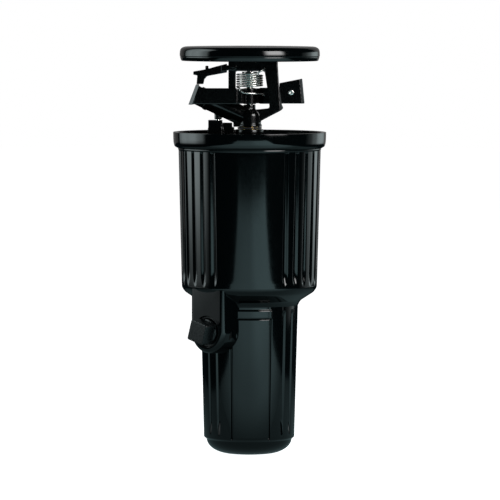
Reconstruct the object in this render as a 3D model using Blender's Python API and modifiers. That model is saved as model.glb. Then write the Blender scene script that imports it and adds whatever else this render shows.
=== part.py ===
"""A pop-up impact sprinkler, standing raised: case, spring-loaded riser, bearing, impact head and cap.

The frame is in metres, +Z up, with its origin at the middle of the case's bottom. The nozzle
points to -X. Pieces that touch keep a small gap, because each one is a solid of its own.
"""

import math

import bmesh
import bpy
from mathutils import Matrix, Vector

MM = 0.001
OBJECT_NAME = "pop_up_sprinkler"

# Facets round the axis
CASE_STEPS = 48
RING_STEPS = 24
PIN_STEPS = 20

GAP = 0.3 * MM
CUT_MARGIN = 5.0 * MM  # how far a cutter reaches past what it cuts

# Case: rim, wide can, narrow lower body and domed base
RIM_RADIUS = 54.5 * MM
RIM_TOP = 229.5 * MM
RIM_FOOT = 218.6 * MM
RECESS_RADIUS = 51.4 * MM
RECESS_FLOOR = 219.1 * MM
CAN_TOP_RADIUS = 50.7 * MM
CAN_FOOT_RADIUS = 48.4 * MM
CAN_FOOT = 120.0 * MM
CAN_WALL = 2.6 * MM
BODY_TOP_RADIUS = 34.7 * MM
BODY_TOP = 105.7 * MM
BODY_FOOT_RADIUS = 32.4 * MM
BODY_FOOT = 12.1 * MM
BODY_WALL = 3.0 * MM
DOME_RADIUS = 30.4 * MM
DOME_TOP = 10.7 * MM
DOME_STEPS = 5
BASE_RING_RADIUS = 13.5 * MM
INLET_RADIUS = 10.4 * MM
SOCKET_TOP = 17.0 * MM
SOCKET_RADIUS = 15.0 * MM
SOCKET_FOOT = 3.6 * MM
GUIDE_LEDGE = 111.5 * MM
GUIDE_SEAT_RADIUS = 35.3 * MM
GROOVE_DEPTH = 1.3 * MM
GROOVE_LIFT = 3.2 * MM
GROOVE_HEIGHT = 2.2 * MM

# Side inlet: a boss on the lower body, closed by a plug with a square end
BOSS_ANGLE = math.radians(-40.0)
BOSS_HEIGHT = 89.5 * MM
BOSS_RADIUS = 15.7 * MM
BOSS_FACE = 47.0 * MM
BOSS_START = 20.0 * MM
BOSS_TOP = 119.0 * MM
SIDE_BORE_RADIUS = 10.5 * MM
MOUTH_RADIUS = 11.3 * MM
MOUTH_FLOOR = 43.4 * MM
PLUG_SQUARE = 14.8 * MM
PLUG_TURN = math.radians(16.0)
PLUG_END = 57.7 * MM
PLUG_START = 32.0 * MM
PLUG_NECK_RADIUS = 8.8 * MM
PLUG_NECK_START = 40.0 * MM
SEAL_BORE = 9.2 * MM
SEAL_THICKNESS = 1.9 * MM

# Riser guide: a hat with a flange, its retaining ring and its wiper seal
HAT_RADIUS = 18.5 * MM
HAT_INSIDE_RADIUS = 16.5 * MM
HAT_TOP = 124.0 * MM
HAT_CEILING = 121.7 * MM
GUIDE_FLANGE_THICKNESS = 2.7 * MM
GUIDE_RING_OVERLAP = 1.0 * MM
GUIDE_RING_REACH = 3.0 * MM
GUIDE_RING_THICKNESS = 1.6 * MM
WIPER_RADIUS = 13.0 * MM
WIPER_TOP = 127.2 * MM

# Riser and its return spring
RISER_RADIUS = 9.5 * MM
RISER_BORE = 7.6 * MM
RISER_FOOT = 87.3 * MM
RISER_TOP = 214.0 * MM
BASE_BOTTOM = 84.0 * MM
BASE_FLANGE_RADIUS = 20.0 * MM
BASE_SOCKET_RADIUS = 12.0 * MM
BASE_SOCKET_HEIGHT = 8.0 * MM
WASHER_RADIUS = 19.0 * MM
WASHER_BORE = 12.3 * MM
WASHER_THICKNESS = 0.8 * MM
SPRING_RADIUS = 14.0 * MM
SPRING_WIRE = 1.0 * MM
SPRING_FOOT = 88.6 * MM
SPRING_TOP = 120.4 * MM
GUIDE_BORE = 9.8 * MM

# Filter screen in the riser's foot
SCREEN_TOP = 112.0 * MM
SCREEN_RADIUS = 6.9 * MM
SCREEN_BORE = 5.9 * MM
SCREEN_ROOF = 1.2 * MM
SCREEN_FLANGE_RADIUS = 9.4 * MM
SCREEN_FLANGE_THICKNESS = 1.6 * MM
SCREEN_SLOT_FEET = (89.0 * MM, 94.4 * MM, 99.8 * MM, 105.2 * MM)
SCREEN_SLOT_HEIGHT = 3.2 * MM
SCREEN_SLOT_HALF = 1.3 * MM

# Bearing between the riser and the head
SLEEVE_BORE = 6.3 * MM
SLEEVE_FOOT = 205.0 * MM
SLEEVE_TOP = 231.4 * MM
SLEEVE_RADIUS = 9.4 * MM
SLEEVE_FLANGE_FOOT = 227.8 * MM
SLEEVE_FLANGE_RADIUS = 9.9 * MM
NIPPLE_RADIUS = 6.0 * MM
NIPPLE_BORE = 4.4 * MM
NIPPLE_FLANGE_RADIUS = 7.2 * MM
NIPPLE_FLANGE_FOOT = 196.5 * MM
NIPPLE_FLANGE_TOP = 198.5 * MM
BEARING_SPRING_RADIUS = 6.75 * MM
BEARING_SPRING_WIRE = 0.35 * MM
BEARING_SPRING_FOOT = 199.2 * MM
BEARING_SPRING_TOP = 202.6 * MM
COLLAR_RADIUS = 13.0 * MM
COLLAR_BORE = 9.7 * MM
COLLAR_HEIGHT = 5.2 * MM
COLLAR_TAB_START = 12.0 * MM
COLLAR_TAB_REACH = 16.5 * MM
COLLAR_TAB_HALF = 2.0 * MM
COLLAR_TAB_INSET = 0.4 * MM
COLLAR_FEET = {"lower_trip_collar": 216.0 * MM, "upper_trip_collar": 221.8 * MM}
COLLAR_TAB_ANGLES = {"lower_trip_collar": 50.0, "upper_trip_collar": -35.0}

# Head: hub, nozzle barrel and bridge
HUB_RADIUS = 8.2 * MM
HUB_LIP_RADIUS = 8.7 * MM
HUB_FOOT = 233.2 * MM
HUB_TOP = 245.7 * MM
HUB_BORE_TOP = 240.3 * MM
BRACKET_HALF_DEPTH = 5.2 * MM
PIN_BOSS_RADIUS = 4.2 * MM
PIN_BOSS_FOOT = 243.0 * MM
LUG_RADIUS = 2.6 * MM
LUG_TOP = 246.0 * MM
LUG_HOLE_TOP = 243.2 * MM
BARREL_RADIUS = 7.0 * MM
BARREL_BORE = 5.2 * MM
BARREL_LIFT = math.radians(25.0)
BARREL_HEIGHT = 238.4 * MM
BARREL_LENGTH = 40.3 * MM
NOZZLE_RADIUS = 4.9 * MM
NOZZLE_LENGTH = 14.0 * MM
NOZZLE_ORIFICE = 2.4 * MM
BRIDGE_HALF_DEPTH = 5.0 * MM
BRIDGE_TOP = 286.9 * MM
PIN_RADIUS = 2.2 * MM
PIN_FOOT = 246.3 * MM
PIN_TOP = 284.0 * MM
RETAINER_RADIUS = 5.6 * MM
RETAINER_FOOT = 271.2 * MM
RETAINER_TOP = 272.3 * MM

# Impact arm
ARM_FOOT = 249.3 * MM
ARM_TOP = 260.8 * MM
ARM_HUB_RADIUS = 4.6 * MM
ARM_BORE = 3.7 * MM
ARM_FRONT = -10.7 * MM
ARM_BACK = 8.7 * MM
ARM_THICKNESS = 2.8 * MM
TAIL_BACK = 14.9 * MM
WEB_INSET = 0.4 * MM
PANEL_INSET = 0.2 * MM
VANE_BACK = 6.5 * MM
BACK_PANEL_START = 7.2 * MM
BACK_PANEL_END = 23.0 * MM
RIVET_HOLE_RADIUS = 2.0 * MM
RIVET_SHANK_RADIUS = 1.7 * MM
RIVET_HEAD_RADIUS = 2.3 * MM
RIVET_HEAD_HEIGHT = 0.7 * MM
RIVET_PLACE = (29.4 * MM, 257.5 * MM)
ARM_SPRING_RADIUS = 8.9 * MM
ARM_SPRING_WIRE = 0.65 * MM
ARM_SPRING_TURNS = 5.4
ARM_SPRING_FOOT = 261.9 * MM
ARM_SPRING_TOP = 270.9 * MM

# Trip lever, under the barrel
TRIP_X = -22.5 * MM
TRIP_PIN_RADIUS = 1.5 * MM
TRIP_TOP = 237.9 * MM
TRIP_FOOT = 224.0 * MM
TRIP_SHELF_FOOT = 228.0 * MM
TRIP_SHELF_TOP = 236.0 * MM
TRIP_SHELF_START = -18.6 * MM
TRIP_SHELF_END = -12.4 * MM
TRIP_SHELF_HALF = 3.4 * MM
TRIP_LEDGE_TOP = 232.8 * MM
TRIP_LEDGE_END = -10.9 * MM
TRIP_NOTCH_START = -19.4 * MM
TRIP_PIN_TOP = 242.9 * MM
TRIP_PIN_HEAD_RADIUS = 3.6 * MM
TRIP_PIN_HEAD_TOP = 219.2 * MM
TRIP_PIN_HEAD_FOOT = 217.8 * MM
TRIP_SPRING_RADIUS = 2.7 * MM
TRIP_SPRING_WIRE = 0.35 * MM
TRIP_SPRING_FOOT = 219.9 * MM
TRIP_SPRING_TOP = 223.2 * MM

# Distance deflector, hinged on the bridge's left leg
DEFLECTOR_HINGE = (-12.2 * MM, 276.0 * MM)
DEFLECTOR_PIN_RADIUS = 1.3 * MM
DEFLECTOR_PIN_HALF = 8.0 * MM
BAR_HALF = 4.0 * MM
EAR_INSIDE = 5.4 * MM
EAR_OUTSIDE = 7.4 * MM
EAR_DISC_RADIUS = 2.9 * MM

# Cap
CAP_RADIUS = 49.9 * MM
CAP_FOOT = 280.1 * MM
CAP_TOP = 290.2 * MM
CAP_CENTRE_TOP = 290.5 * MM
CAP_CENTRE_RADIUS = 32.0 * MM
CAP_UNDERSIDE = 287.4 * MM
CAP_SCREW_PLACES = {"cap_screw_left": -7.5 * MM, "cap_screw_right": 15.0 * MM}
SCREW_HEAD_RADIUS = 3.3 * MM
SCREW_SHANK_RADIUS = 1.5 * MM
SCREW_HEAD_FOOT = 288.9 * MM
SCREW_HEAD_TOP = 290.3 * MM
SCREW_FOOT = 277.0 * MM

BLACK_GLOSS = ("black_gloss_plastic", (0.012, 0.014, 0.015), 0.28, 0.0)
BLACK_MATTE = ("black_moulded_plastic", (0.018, 0.019, 0.020), 0.42, 0.0)
GREY_PLASTIC = ("grey_plastic", (0.30, 0.31, 0.31), 0.4, 0.0)
RUBBER = ("black_rubber", (0.02, 0.02, 0.02), 0.7, 0.0)
STEEL = ("spring_steel", (0.62, 0.62, 0.60), 0.25, 1.0)
BRASS = ("brass", (0.60, 0.42, 0.16), 0.3, 1.0)


def clear_scene():
    for old in list(bpy.data.objects):
        bpy.data.objects.remove(old, do_unlink=True)


def new_collection(name):
    collection = bpy.data.collections.new(name)
    bpy.context.scene.collection.children.link(collection)
    return collection


def make_material(node, finish):
    """Each node's own Principled material, named after the finish and the node."""
    finish_name, color, roughness, metallic = finish
    material = bpy.data.materials.new(finish_name + "_" + node)
    material.use_nodes = True
    shader = material.node_tree.nodes["Principled BSDF"]
    shader.inputs["Base Color"].default_value = (*color, 1.0)
    shader.inputs["Roughness"].default_value = roughness
    shader.inputs["Metallic"].default_value = metallic
    return material


clear_scene()
PARTS = new_collection(OBJECT_NAME)
CUTTERS = new_collection("cutters")


def new_joint(name, location):
    """An empty on a joint's axis, which the pieces of one moving body are parented to."""
    joint = bpy.data.objects.new(name, None)
    joint.location = location
    joint.empty_display_size = 10 * MM
    PARTS.objects.link(joint)
    return joint


def as_part(piece, joint, finish):
    """Names the piece's material, and parents the piece to its joint without moving it."""
    piece.data.materials.append(make_material(piece.name, finish))
    if joint is not None:
        piece.parent = joint
        piece.matrix_parent_inverse = Matrix.Translation(joint.location).inverted()
    CUTTERS.objects.unlink(piece)
    PARTS.objects.link(piece)
    piece.hide_render = False
    piece.display_type = "TEXTURED"
    return piece


def new_tool(name, data):
    """Every shape starts as a hidden tool. as_part turns it into a piece of the object."""
    tool = bpy.data.objects.new(name, data)
    tool.hide_render = True
    tool.display_type = "WIRE"
    CUTTERS.objects.link(tool)
    return tool


def turned(name, profile, steps, closed=True):
    """A profile of (radius, height) points turned round Z, its outer side from top to bottom.

    An open profile starts and ends on the axis.
    """
    mesh = bpy.data.meshes.new(name)
    vertices = [(radius, 0.0, height) for radius, height in profile]
    edges = [(i, i + 1) for i in range(len(profile) - 1)]
    if closed:
        edges.append((len(profile) - 1, 0))
    mesh.from_pydata(vertices, edges, [])
    piece = new_tool(name, mesh)
    screw = piece.modifiers.new("turn", "SCREW")
    screw.steps = steps
    screw.render_steps = steps
    screw.use_merge_vertices = True
    screw.merge_threshold = 0.00001
    return piece


def ring(name, outer, inner, foot, top, steps=RING_STEPS):
    profile = [(inner, top), (outer, top), (outer, foot), (inner, foot)]
    return turned(name, profile, steps)


def rod(name, radius, start, end, steps=PIN_STEPS):
    """A cylinder between two points."""
    start = Vector(start)
    direction = Vector(end) - start
    mesh = bpy.data.meshes.new(name)
    shape = bmesh.new()
    bmesh.ops.create_cone(
        shape, cap_ends=True, segments=steps, radius1=radius, radius2=radius, depth=direction.length
    )
    turn = direction.to_track_quat("Z", "Y").to_matrix().to_4x4()
    middle = Matrix.Translation(start + direction / 2)
    bmesh.ops.transform(shape, matrix=middle @ turn, verts=shape.verts)
    shape.to_mesh(mesh)
    shape.free()
    return new_tool(name, mesh)


def block(name, low, high):
    """A box between two corners."""
    low = Vector(low)
    size = Vector(high) - low
    mesh = bpy.data.meshes.new(name)
    shape = bmesh.new()
    bmesh.ops.create_cube(shape, size=1.0)
    bmesh.ops.transform(shape, matrix=Matrix.Diagonal((*size, 1.0)), verts=shape.verts)
    bmesh.ops.translate(shape, vec=low + size / 2, verts=shape.verts)
    shape.to_mesh(mesh)
    shape.free()
    return new_tool(name, mesh)


def curve_as_mesh(curve_object):
    """The curve's evaluated shape as a mesh object of the same name, its caps welded on."""
    bpy.context.view_layer.update()
    evaluated = curve_object.evaluated_get(bpy.context.evaluated_depsgraph_get())
    mesh = bpy.data.meshes.new_from_object(evaluated)
    shape = bmesh.new()
    shape.from_mesh(mesh)
    bmesh.ops.remove_doubles(shape, verts=shape.verts, dist=0.000001)
    bmesh.ops.transform(shape, matrix=curve_object.matrix_world, verts=shape.verts)
    shape.to_mesh(mesh)
    shape.free()
    name = curve_object.name
    bpy.data.objects.remove(curve_object, do_unlink=True)
    return new_tool(name, mesh)


def plate(name, outlines, low, high, upright=True):
    """Flat outlines in millimetres given a thickness: the first is the edge, the rest are holes.

    Upright outlines are (x, z) and run from low to high in Y. The others are (x, y), from low to
    high in Z.
    """
    curve = bpy.data.curves.new(name, "CURVE")
    curve.dimensions = "2D"
    curve.fill_mode = "BOTH"
    curve.extrude = (high - low) / 2
    for outline in outlines:
        spline = curve.splines.new("POLY")
        spline.points.add(len(outline) - 1)
        for point, (across, up) in zip(spline.points, outline):
            point.co = (across * MM, up * MM, 0.0, 1.0)
        spline.use_cyclic_u = True
    flat = new_tool(name, curve)
    middle = (low + high) / 2
    if upright:
        flat.rotation_euler = (math.radians(90), 0, 0)
        flat.location = (0, middle, 0)
    else:
        flat.location = (0, 0, middle)
    return curve_as_mesh(flat)


def coil(name, radius, wire_radius, foot, top, turns, steps_per_turn=12, centre=(0.0, 0.0)):
    """A helical spring round a vertical axis, given by its wire's centre line."""
    curve = bpy.data.curves.new(name, "CURVE")
    curve.dimensions = "3D"
    curve.bevel_depth = wire_radius
    curve.bevel_resolution = 1
    curve.use_fill_caps = True
    spline = curve.splines.new("POLY")
    count = int(turns * steps_per_turn) + 1
    spline.points.add(count - 1)
    for index, point in enumerate(spline.points):
        share = index / (count - 1)
        angle = share * turns * 2 * math.pi
        x = centre[0] + radius * math.cos(angle)
        y = centre[1] + radius * math.sin(angle)
        point.co = (x, y, foot + share * (top - foot), 1.0)
    return curve_as_mesh(new_tool(name, curve))


def combine(base, joined=(), cut=()):
    """Joins and cuts with Boolean modifiers, joins first."""
    for operation, tools in (("UNION", joined), ("DIFFERENCE", cut)):
        for tool in tools:
            boolean = base.modifiers.new(operation.lower() + "_" + tool.name, "BOOLEAN")
            boolean.operation = operation
            boolean.solver = "EXACT"
            boolean.object = tool
    return base


def turn_about_z(piece, angle):
    piece.data.transform(Matrix.Rotation(angle, 4, "Z"))
    return piece


# Case


def case_outside():
    """The case's outer shape as a full solid, from the rim down to the ring it stands on."""
    dome = []
    for step in range(DOME_STEPS + 1):
        angle = math.pi / 2 * step / DOME_STEPS
        radius = BASE_RING_RADIUS + (DOME_RADIUS - BASE_RING_RADIUS) * math.cos(angle)
        dome.append((radius, DOME_TOP * (1 - math.sin(angle))))
    rim = [
        (0.0, RIM_TOP),
        (RIM_RADIUS - 1.2 * MM, RIM_TOP),
        (RIM_RADIUS, RIM_TOP - 1.2 * MM),
        (RIM_RADIUS, RIM_FOOT + 3.4 * MM),
        (RIM_RADIUS - 1.0 * MM, RIM_FOOT + 0.9 * MM),
        (CAN_TOP_RADIUS, RIM_FOOT),
    ]
    shoulder = [
        (CAN_FOOT_RADIUS, CAN_FOOT),
        (CAN_FOOT_RADIUS - 1.2 * MM, CAN_FOOT - 2.9 * MM),
        (CAN_FOOT_RADIUS - 3.9 * MM, CAN_FOOT - 5.7 * MM),
        (BODY_TOP_RADIUS + 1.5 * MM, BODY_TOP + 2.8 * MM),
    ]
    body = [(BODY_TOP_RADIUS, BODY_TOP), (BODY_FOOT_RADIUS, BODY_FOOT)]
    profile = rim + shoulder + body + dome + [(0.0, 0.0)]
    return turned("case_shell", profile, CASE_STEPS, closed=False)


def case_inside():
    """The case's hollow: cap recess, can, guide seat, riser chamber and bottom inlet."""
    above = RIM_TOP + CUT_MARGIN
    below = -CUT_MARGIN
    groove_radius = GUIDE_SEAT_RADIUS + GROOVE_DEPTH
    groove_foot = GUIDE_LEDGE + GROOVE_LIFT
    groove_top = groove_foot + GROOVE_HEIGHT
    can_floor = groove_top + 0.8 * MM
    chamber_top = BODY_TOP_RADIUS - BODY_WALL
    profile = [
        (0.0, above),
        (RECESS_RADIUS, above),
        (RECESS_RADIUS, RECESS_FLOOR),
        (CAN_TOP_RADIUS - CAN_WALL, RECESS_FLOOR),
        (CAN_FOOT_RADIUS - CAN_WALL, CAN_FOOT + 3 * MM),
        (CAN_FOOT_RADIUS - 4.2 * MM, CAN_FOOT),
        (GUIDE_SEAT_RADIUS, can_floor),
        (GUIDE_SEAT_RADIUS, groove_top),
        (groove_radius, groove_top),
        (groove_radius, groove_foot),
        (GUIDE_SEAT_RADIUS, groove_foot),
        (GUIDE_SEAT_RADIUS, GUIDE_LEDGE),
        (chamber_top, GUIDE_LEDGE),
        (chamber_top, BODY_TOP),
        (BODY_FOOT_RADIUS - BODY_WALL, SOCKET_TOP + 1.5 * MM),
        (DOME_RADIUS - 3.4 * MM, DOME_TOP),
        (SOCKET_RADIUS + 5.0 * MM, SOCKET_FOOT + 1.4 * MM),
        (SOCKET_RADIUS, SOCKET_FOOT),
        (SOCKET_RADIUS, SOCKET_TOP),
        (INLET_RADIUS, SOCKET_TOP),
        (INLET_RADIUS, below),
        (0.0, below),
    ]
    hollow = turned("case_hollow", profile, CASE_STEPS, closed=False)
    hollow.rotation_euler.z = math.pi / CASE_STEPS  # so its facets' edges miss those of the outside
    return hollow


def side_boss():
    """The side inlet's boss: straight sides and a half-round foot, made facing -Y, then turned."""
    radius = BOSS_RADIUS / MM
    height = BOSS_HEIGHT / MM
    arc_steps = 12
    outline = [(radius, BOSS_TOP / MM)]
    for step in range(arc_steps + 1):
        angle = -math.pi * step / arc_steps
        outline.append((radius * math.cos(angle), height + radius * math.sin(angle)))
    outline.append((-radius, BOSS_TOP / MM))
    boss = plate("side_boss", [outline], -BOSS_FACE, -BOSS_START)
    return turn_about_z(boss, BOSS_ANGLE)


def side_rod(name, radius, start, end, steps=RING_STEPS):
    """A cylinder on the side inlet's axis, between two distances from the case's axis."""
    start_point = (0, -start, BOSS_HEIGHT)
    end_point = (0, -end, BOSS_HEIGHT)
    return turn_about_z(rod(name, radius, start_point, end_point, steps), BOSS_ANGLE)


def build_case():
    bore = side_rod("side_bore", SIDE_BORE_RADIUS, BOSS_START, BOSS_FACE + CUT_MARGIN)
    mouth = side_rod("side_mouth", MOUTH_RADIUS, MOUTH_FLOOR, BOSS_FACE + CUT_MARGIN)
    shell = combine(case_outside(), [side_boss()], [case_inside(), bore, mouth])
    as_part(shell, None, BLACK_GLOSS)


def build_side_plug():
    thread = side_rod("side_inlet_plug", SIDE_BORE_RADIUS - GAP, PLUG_START, MOUTH_FLOOR)
    neck = side_rod("plug_neck", PLUG_NECK_RADIUS, PLUG_NECK_START, BOSS_FACE)
    half = PLUG_SQUARE / 2
    square = block("plug_square", (-half, -PLUG_END, -half), (half, -BOSS_FACE + 1.0 * MM, half))
    square.data.transform(Matrix.Rotation(PLUG_TURN, 4, "Y"))
    square.data.transform(Matrix.Translation((0, 0, BOSS_HEIGHT)))
    turn_about_z(square, BOSS_ANGLE)
    as_part(combine(thread, [neck, square]), None, BLACK_MATTE)

    seal_foot = MOUTH_FLOOR + GAP
    seal = side_rod("side_plug_seal", MOUTH_RADIUS - GAP, seal_foot, seal_foot + SEAL_THICKNESS)
    hole = side_rod("seal_hole", SEAL_BORE, seal_foot - CUT_MARGIN, seal_foot + CUT_MARGIN)
    as_part(combine(seal, cut=[hole]), None, RUBBER)


def build_riser_guide():
    """A hat that slides the riser true and holds the top of its return spring."""
    flange_foot = GUIDE_LEDGE + GAP
    flange_top = flange_foot + GUIDE_FLANGE_THICKNESS
    profile = [
        (GUIDE_BORE, HAT_TOP),
        (HAT_RADIUS, HAT_TOP),
        (HAT_RADIUS, flange_top),
        (GUIDE_SEAT_RADIUS - GAP, flange_top),
        (GUIDE_SEAT_RADIUS - GAP, flange_foot),
        (HAT_INSIDE_RADIUS, flange_foot),
        (HAT_INSIDE_RADIUS, HAT_CEILING),
        (GUIDE_BORE, HAT_CEILING),
    ]
    as_part(turned("riser_guide", profile, RING_STEPS), None, BLACK_MATTE)

    retainer_foot = flange_top + GAP
    retainer = ring(
        "guide_retaining_ring",
        GUIDE_SEAT_RADIUS + GUIDE_RING_OVERLAP,
        GUIDE_SEAT_RADIUS - GUIDE_RING_REACH,
        retainer_foot,
        retainer_foot + GUIDE_RING_THICKNESS,
    )
    as_part(retainer, None, STEEL)
    wiper = ring("wiper_seal", WIPER_RADIUS, GUIDE_BORE, HAT_TOP + GAP, WIPER_TOP)
    as_part(wiper, None, RUBBER)


# Riser


def build_riser(joint):
    tube = ring("riser_tube", RISER_RADIUS, RISER_BORE, RISER_FOOT, RISER_TOP)
    as_part(tube, joint, BLACK_MATTE)

    seat = RISER_RADIUS + GAP
    flange_top = RISER_FOOT - GAP
    base_profile = [
        (seat, RISER_FOOT + BASE_SOCKET_HEIGHT),
        (BASE_SOCKET_RADIUS, RISER_FOOT + BASE_SOCKET_HEIGHT),
        (BASE_SOCKET_RADIUS, flange_top),
        (BASE_FLANGE_RADIUS, flange_top),
        (BASE_FLANGE_RADIUS, BASE_BOTTOM),
        (RISER_BORE, BASE_BOTTOM),
        (RISER_BORE, flange_top),
        (seat, flange_top),
    ]
    as_part(turned("riser_base", base_profile, RING_STEPS), joint, BLACK_MATTE)

    washer_foot = flange_top + GAP
    washer_top = washer_foot + WASHER_THICKNESS
    washer = ring("spring_washer", WASHER_RADIUS, WASHER_BORE, washer_foot, washer_top)
    as_part(washer, joint, STEEL)

    as_part(filter_screen(), joint, GREY_PLASTIC)
    spring_foot = SPRING_FOOT + SPRING_WIRE
    spring = coil("retract_spring", SPRING_RADIUS, SPRING_WIRE, spring_foot, SPRING_TOP, 8, 8)
    as_part(spring, joint, STEEL)
    as_part(bearing_sleeve(), joint, BLACK_MATTE)


def filter_screen():
    """A thimble inside the riser's foot, open below, with slots round its wall."""
    flange_top = BASE_BOTTOM - GAP
    flange_foot = flange_top - SCREEN_FLANGE_THICKNESS
    profile = [
        (0.0, SCREEN_TOP),
        (SCREEN_RADIUS, SCREEN_TOP),
        (SCREEN_RADIUS, flange_top),
        (SCREEN_FLANGE_RADIUS, flange_top),
        (SCREEN_FLANGE_RADIUS, flange_foot),
        (SCREEN_BORE, flange_foot),
        (SCREEN_BORE, SCREEN_TOP - SCREEN_ROOF),
        (0.0, SCREEN_TOP - SCREEN_ROOF),
    ]
    thimble = turned("filter_screen", profile, PIN_STEPS, closed=False)
    slots = []
    reach = SCREEN_FLANGE_RADIUS
    for foot in SCREEN_SLOT_FEET:
        slot_low = (-reach, -SCREEN_SLOT_HALF, foot)
        slot_high = (reach, SCREEN_SLOT_HALF, foot + SCREEN_SLOT_HEIGHT)
        for angle in (0, 90):
            slot = block("screen_slot", slot_low, slot_high)
            slots.append(turn_about_z(slot, math.radians(angle)))
    return combine(thimble, cut=slots)


def bearing_sleeve():
    """Screwed into the riser's top, with a wide flange just under the head."""
    shoulder = RISER_TOP + GAP
    screwed_radius = RISER_BORE - GAP
    profile = [
        (SLEEVE_BORE, SLEEVE_TOP),
        (SLEEVE_FLANGE_RADIUS, SLEEVE_TOP),
        (SLEEVE_FLANGE_RADIUS, SLEEVE_FLANGE_FOOT),
        (SLEEVE_RADIUS, SLEEVE_FLANGE_FOOT),
        (SLEEVE_RADIUS, shoulder),
        (screwed_radius, shoulder),
        (screwed_radius, SLEEVE_FOOT),
        (SLEEVE_BORE, SLEEVE_FOOT),
    ]
    return turned("bearing_sleeve", profile, RING_STEPS)


def build_trip_collars(joints):
    """Two friction rings on the sleeve, each with a tab that sets one end of the watered arc."""
    for name, foot in COLLAR_FEET.items():
        collar = ring(name, COLLAR_RADIUS, COLLAR_BORE, foot, foot + COLLAR_HEIGHT)
        tab_low = (COLLAR_TAB_START, -COLLAR_TAB_HALF, foot + COLLAR_TAB_INSET)
        tab_high = (COLLAR_TAB_REACH, COLLAR_TAB_HALF, foot + COLLAR_HEIGHT - COLLAR_TAB_INSET)
        tab = block(name + "_tab", tab_low, tab_high)
        turn_about_z(tab, math.radians(COLLAR_TAB_ANGLES[name]))
        as_part(combine(collar, [tab]), joints[name], BLACK_MATTE)


# Head


def bridge():
    """The loop that carries the cap, open in the middle for the arm and its spring."""
    edge = [
        (-15.2, BRIDGE_TOP / MM),
        (-15.2, 244.0),
        (-6.0, 236.5),
        (6.3, 236.5),
        (22.6, 245.0),
        (24.0, 246.5),
        (22.8, 249.2),
        (20.8, 263.6),
        (20.0, 277.9),
        (20.0, BRIDGE_TOP / MM),
    ]
    window = [
        (-9.9, 272.8),
        (10.6, 272.7),
        (12.1, 263.0),
        (14.1, 247.4),
        (13.6, 246.3),
        (5.0, 245.4),
        (-9.9, 245.4),
    ]
    return plate("drive_body", [edge, window], -BRIDGE_HALF_DEPTH, BRIDGE_HALF_DEPTH)


def barrel_point(distance):
    """A point on the barrel's axis, at a distance from the head's turning axis."""
    across = -distance * math.cos(BARREL_LIFT)
    up = BARREL_HEIGHT + distance * math.sin(BARREL_LIFT)
    return (across, 0.0, up)


def build_drive_body(joint):
    hub_profile = [
        (0.0, HUB_TOP),
        (4.5 * MM, HUB_TOP - 0.3 * MM),
        (HUB_RADIUS - 1.2 * MM, HUB_TOP - 1.4 * MM),
        (HUB_RADIUS, HUB_TOP - 3.6 * MM),
        (HUB_RADIUS, HUB_FOOT + 1.6 * MM),
        (HUB_LIP_RADIUS, HUB_FOOT + 1.4 * MM),
        (HUB_LIP_RADIUS, HUB_FOOT),
        (0.0, HUB_FOOT),
    ]
    hub = turned("hub", hub_profile, RING_STEPS, closed=False)
    barrel = rod("barrel", BARREL_RADIUS, barrel_point(0), barrel_point(BARREL_LENGTH), 28)
    pin_boss = rod("pin_boss", PIN_BOSS_RADIUS, (0, 0, PIN_BOSS_FOOT), (0, 0, ARM_FOOT - GAP))
    lug = rod("trip_lug", LUG_RADIUS, (TRIP_X, 0, TRIP_TOP + GAP), (TRIP_X, 0, LUG_TOP))
    bracket_outline = [(-11.6, 233.2), (0, 233.2), (0, 246.4), (-13.4, 246.4), (-13.4, 236.9), (-11.6, 236.9)]
    bracket = plate("bracket", [bracket_outline], -BRACKET_HALF_DEPTH, BRACKET_HALF_DEPTH)

    hub_bore = rod("hub_bore", SLEEVE_BORE, (0, 0, HUB_FOOT - CUT_MARGIN), (0, 0, HUB_BORE_TOP))
    water_way_ends = (barrel_point(3.0 * MM), barrel_point(BARREL_LENGTH + CUT_MARGIN))
    water_way = rod("water_way", BARREL_BORE, *water_way_ends)
    pin_hole = rod("pin_hole", PIN_RADIUS + GAP, (0, 0, PIN_FOOT - GAP), (0, 0, PIN_TOP + GAP))
    lug_hole_radius = TRIP_PIN_RADIUS + GAP
    lug_hole_ends = ((TRIP_X, 0, TRIP_TOP - CUT_MARGIN), (TRIP_X, 0, LUG_HOLE_TOP))
    lug_hole = rod("lug_hole", lug_hole_radius, *lug_hole_ends)
    hinge_x, hinge_z = DEFLECTOR_HINGE
    hinge_hole_radius = DEFLECTOR_PIN_RADIUS + GAP
    hinge_ends = ((hinge_x, -CUT_MARGIN * 2, hinge_z), (hinge_x, CUT_MARGIN * 2, hinge_z))
    hinge_hole = rod("hinge_hole", hinge_hole_radius, *hinge_ends)
    screw_holes = []
    for name, x in CAP_SCREW_PLACES.items():
        hole_ends = ((x, 0, SCREW_FOOT - GAP), (x, 0, BRIDGE_TOP + CUT_MARGIN))
        screw_holes.append(rod(name + "_hole", SCREW_SHANK_RADIUS + GAP, *hole_ends))
    cutters = [hub_bore, water_way, pin_hole, lug_hole, hinge_hole] + screw_holes
    as_part(combine(bridge(), [hub, barrel, pin_boss, lug, bracket], cutters), joint, BLACK_MATTE)


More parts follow.
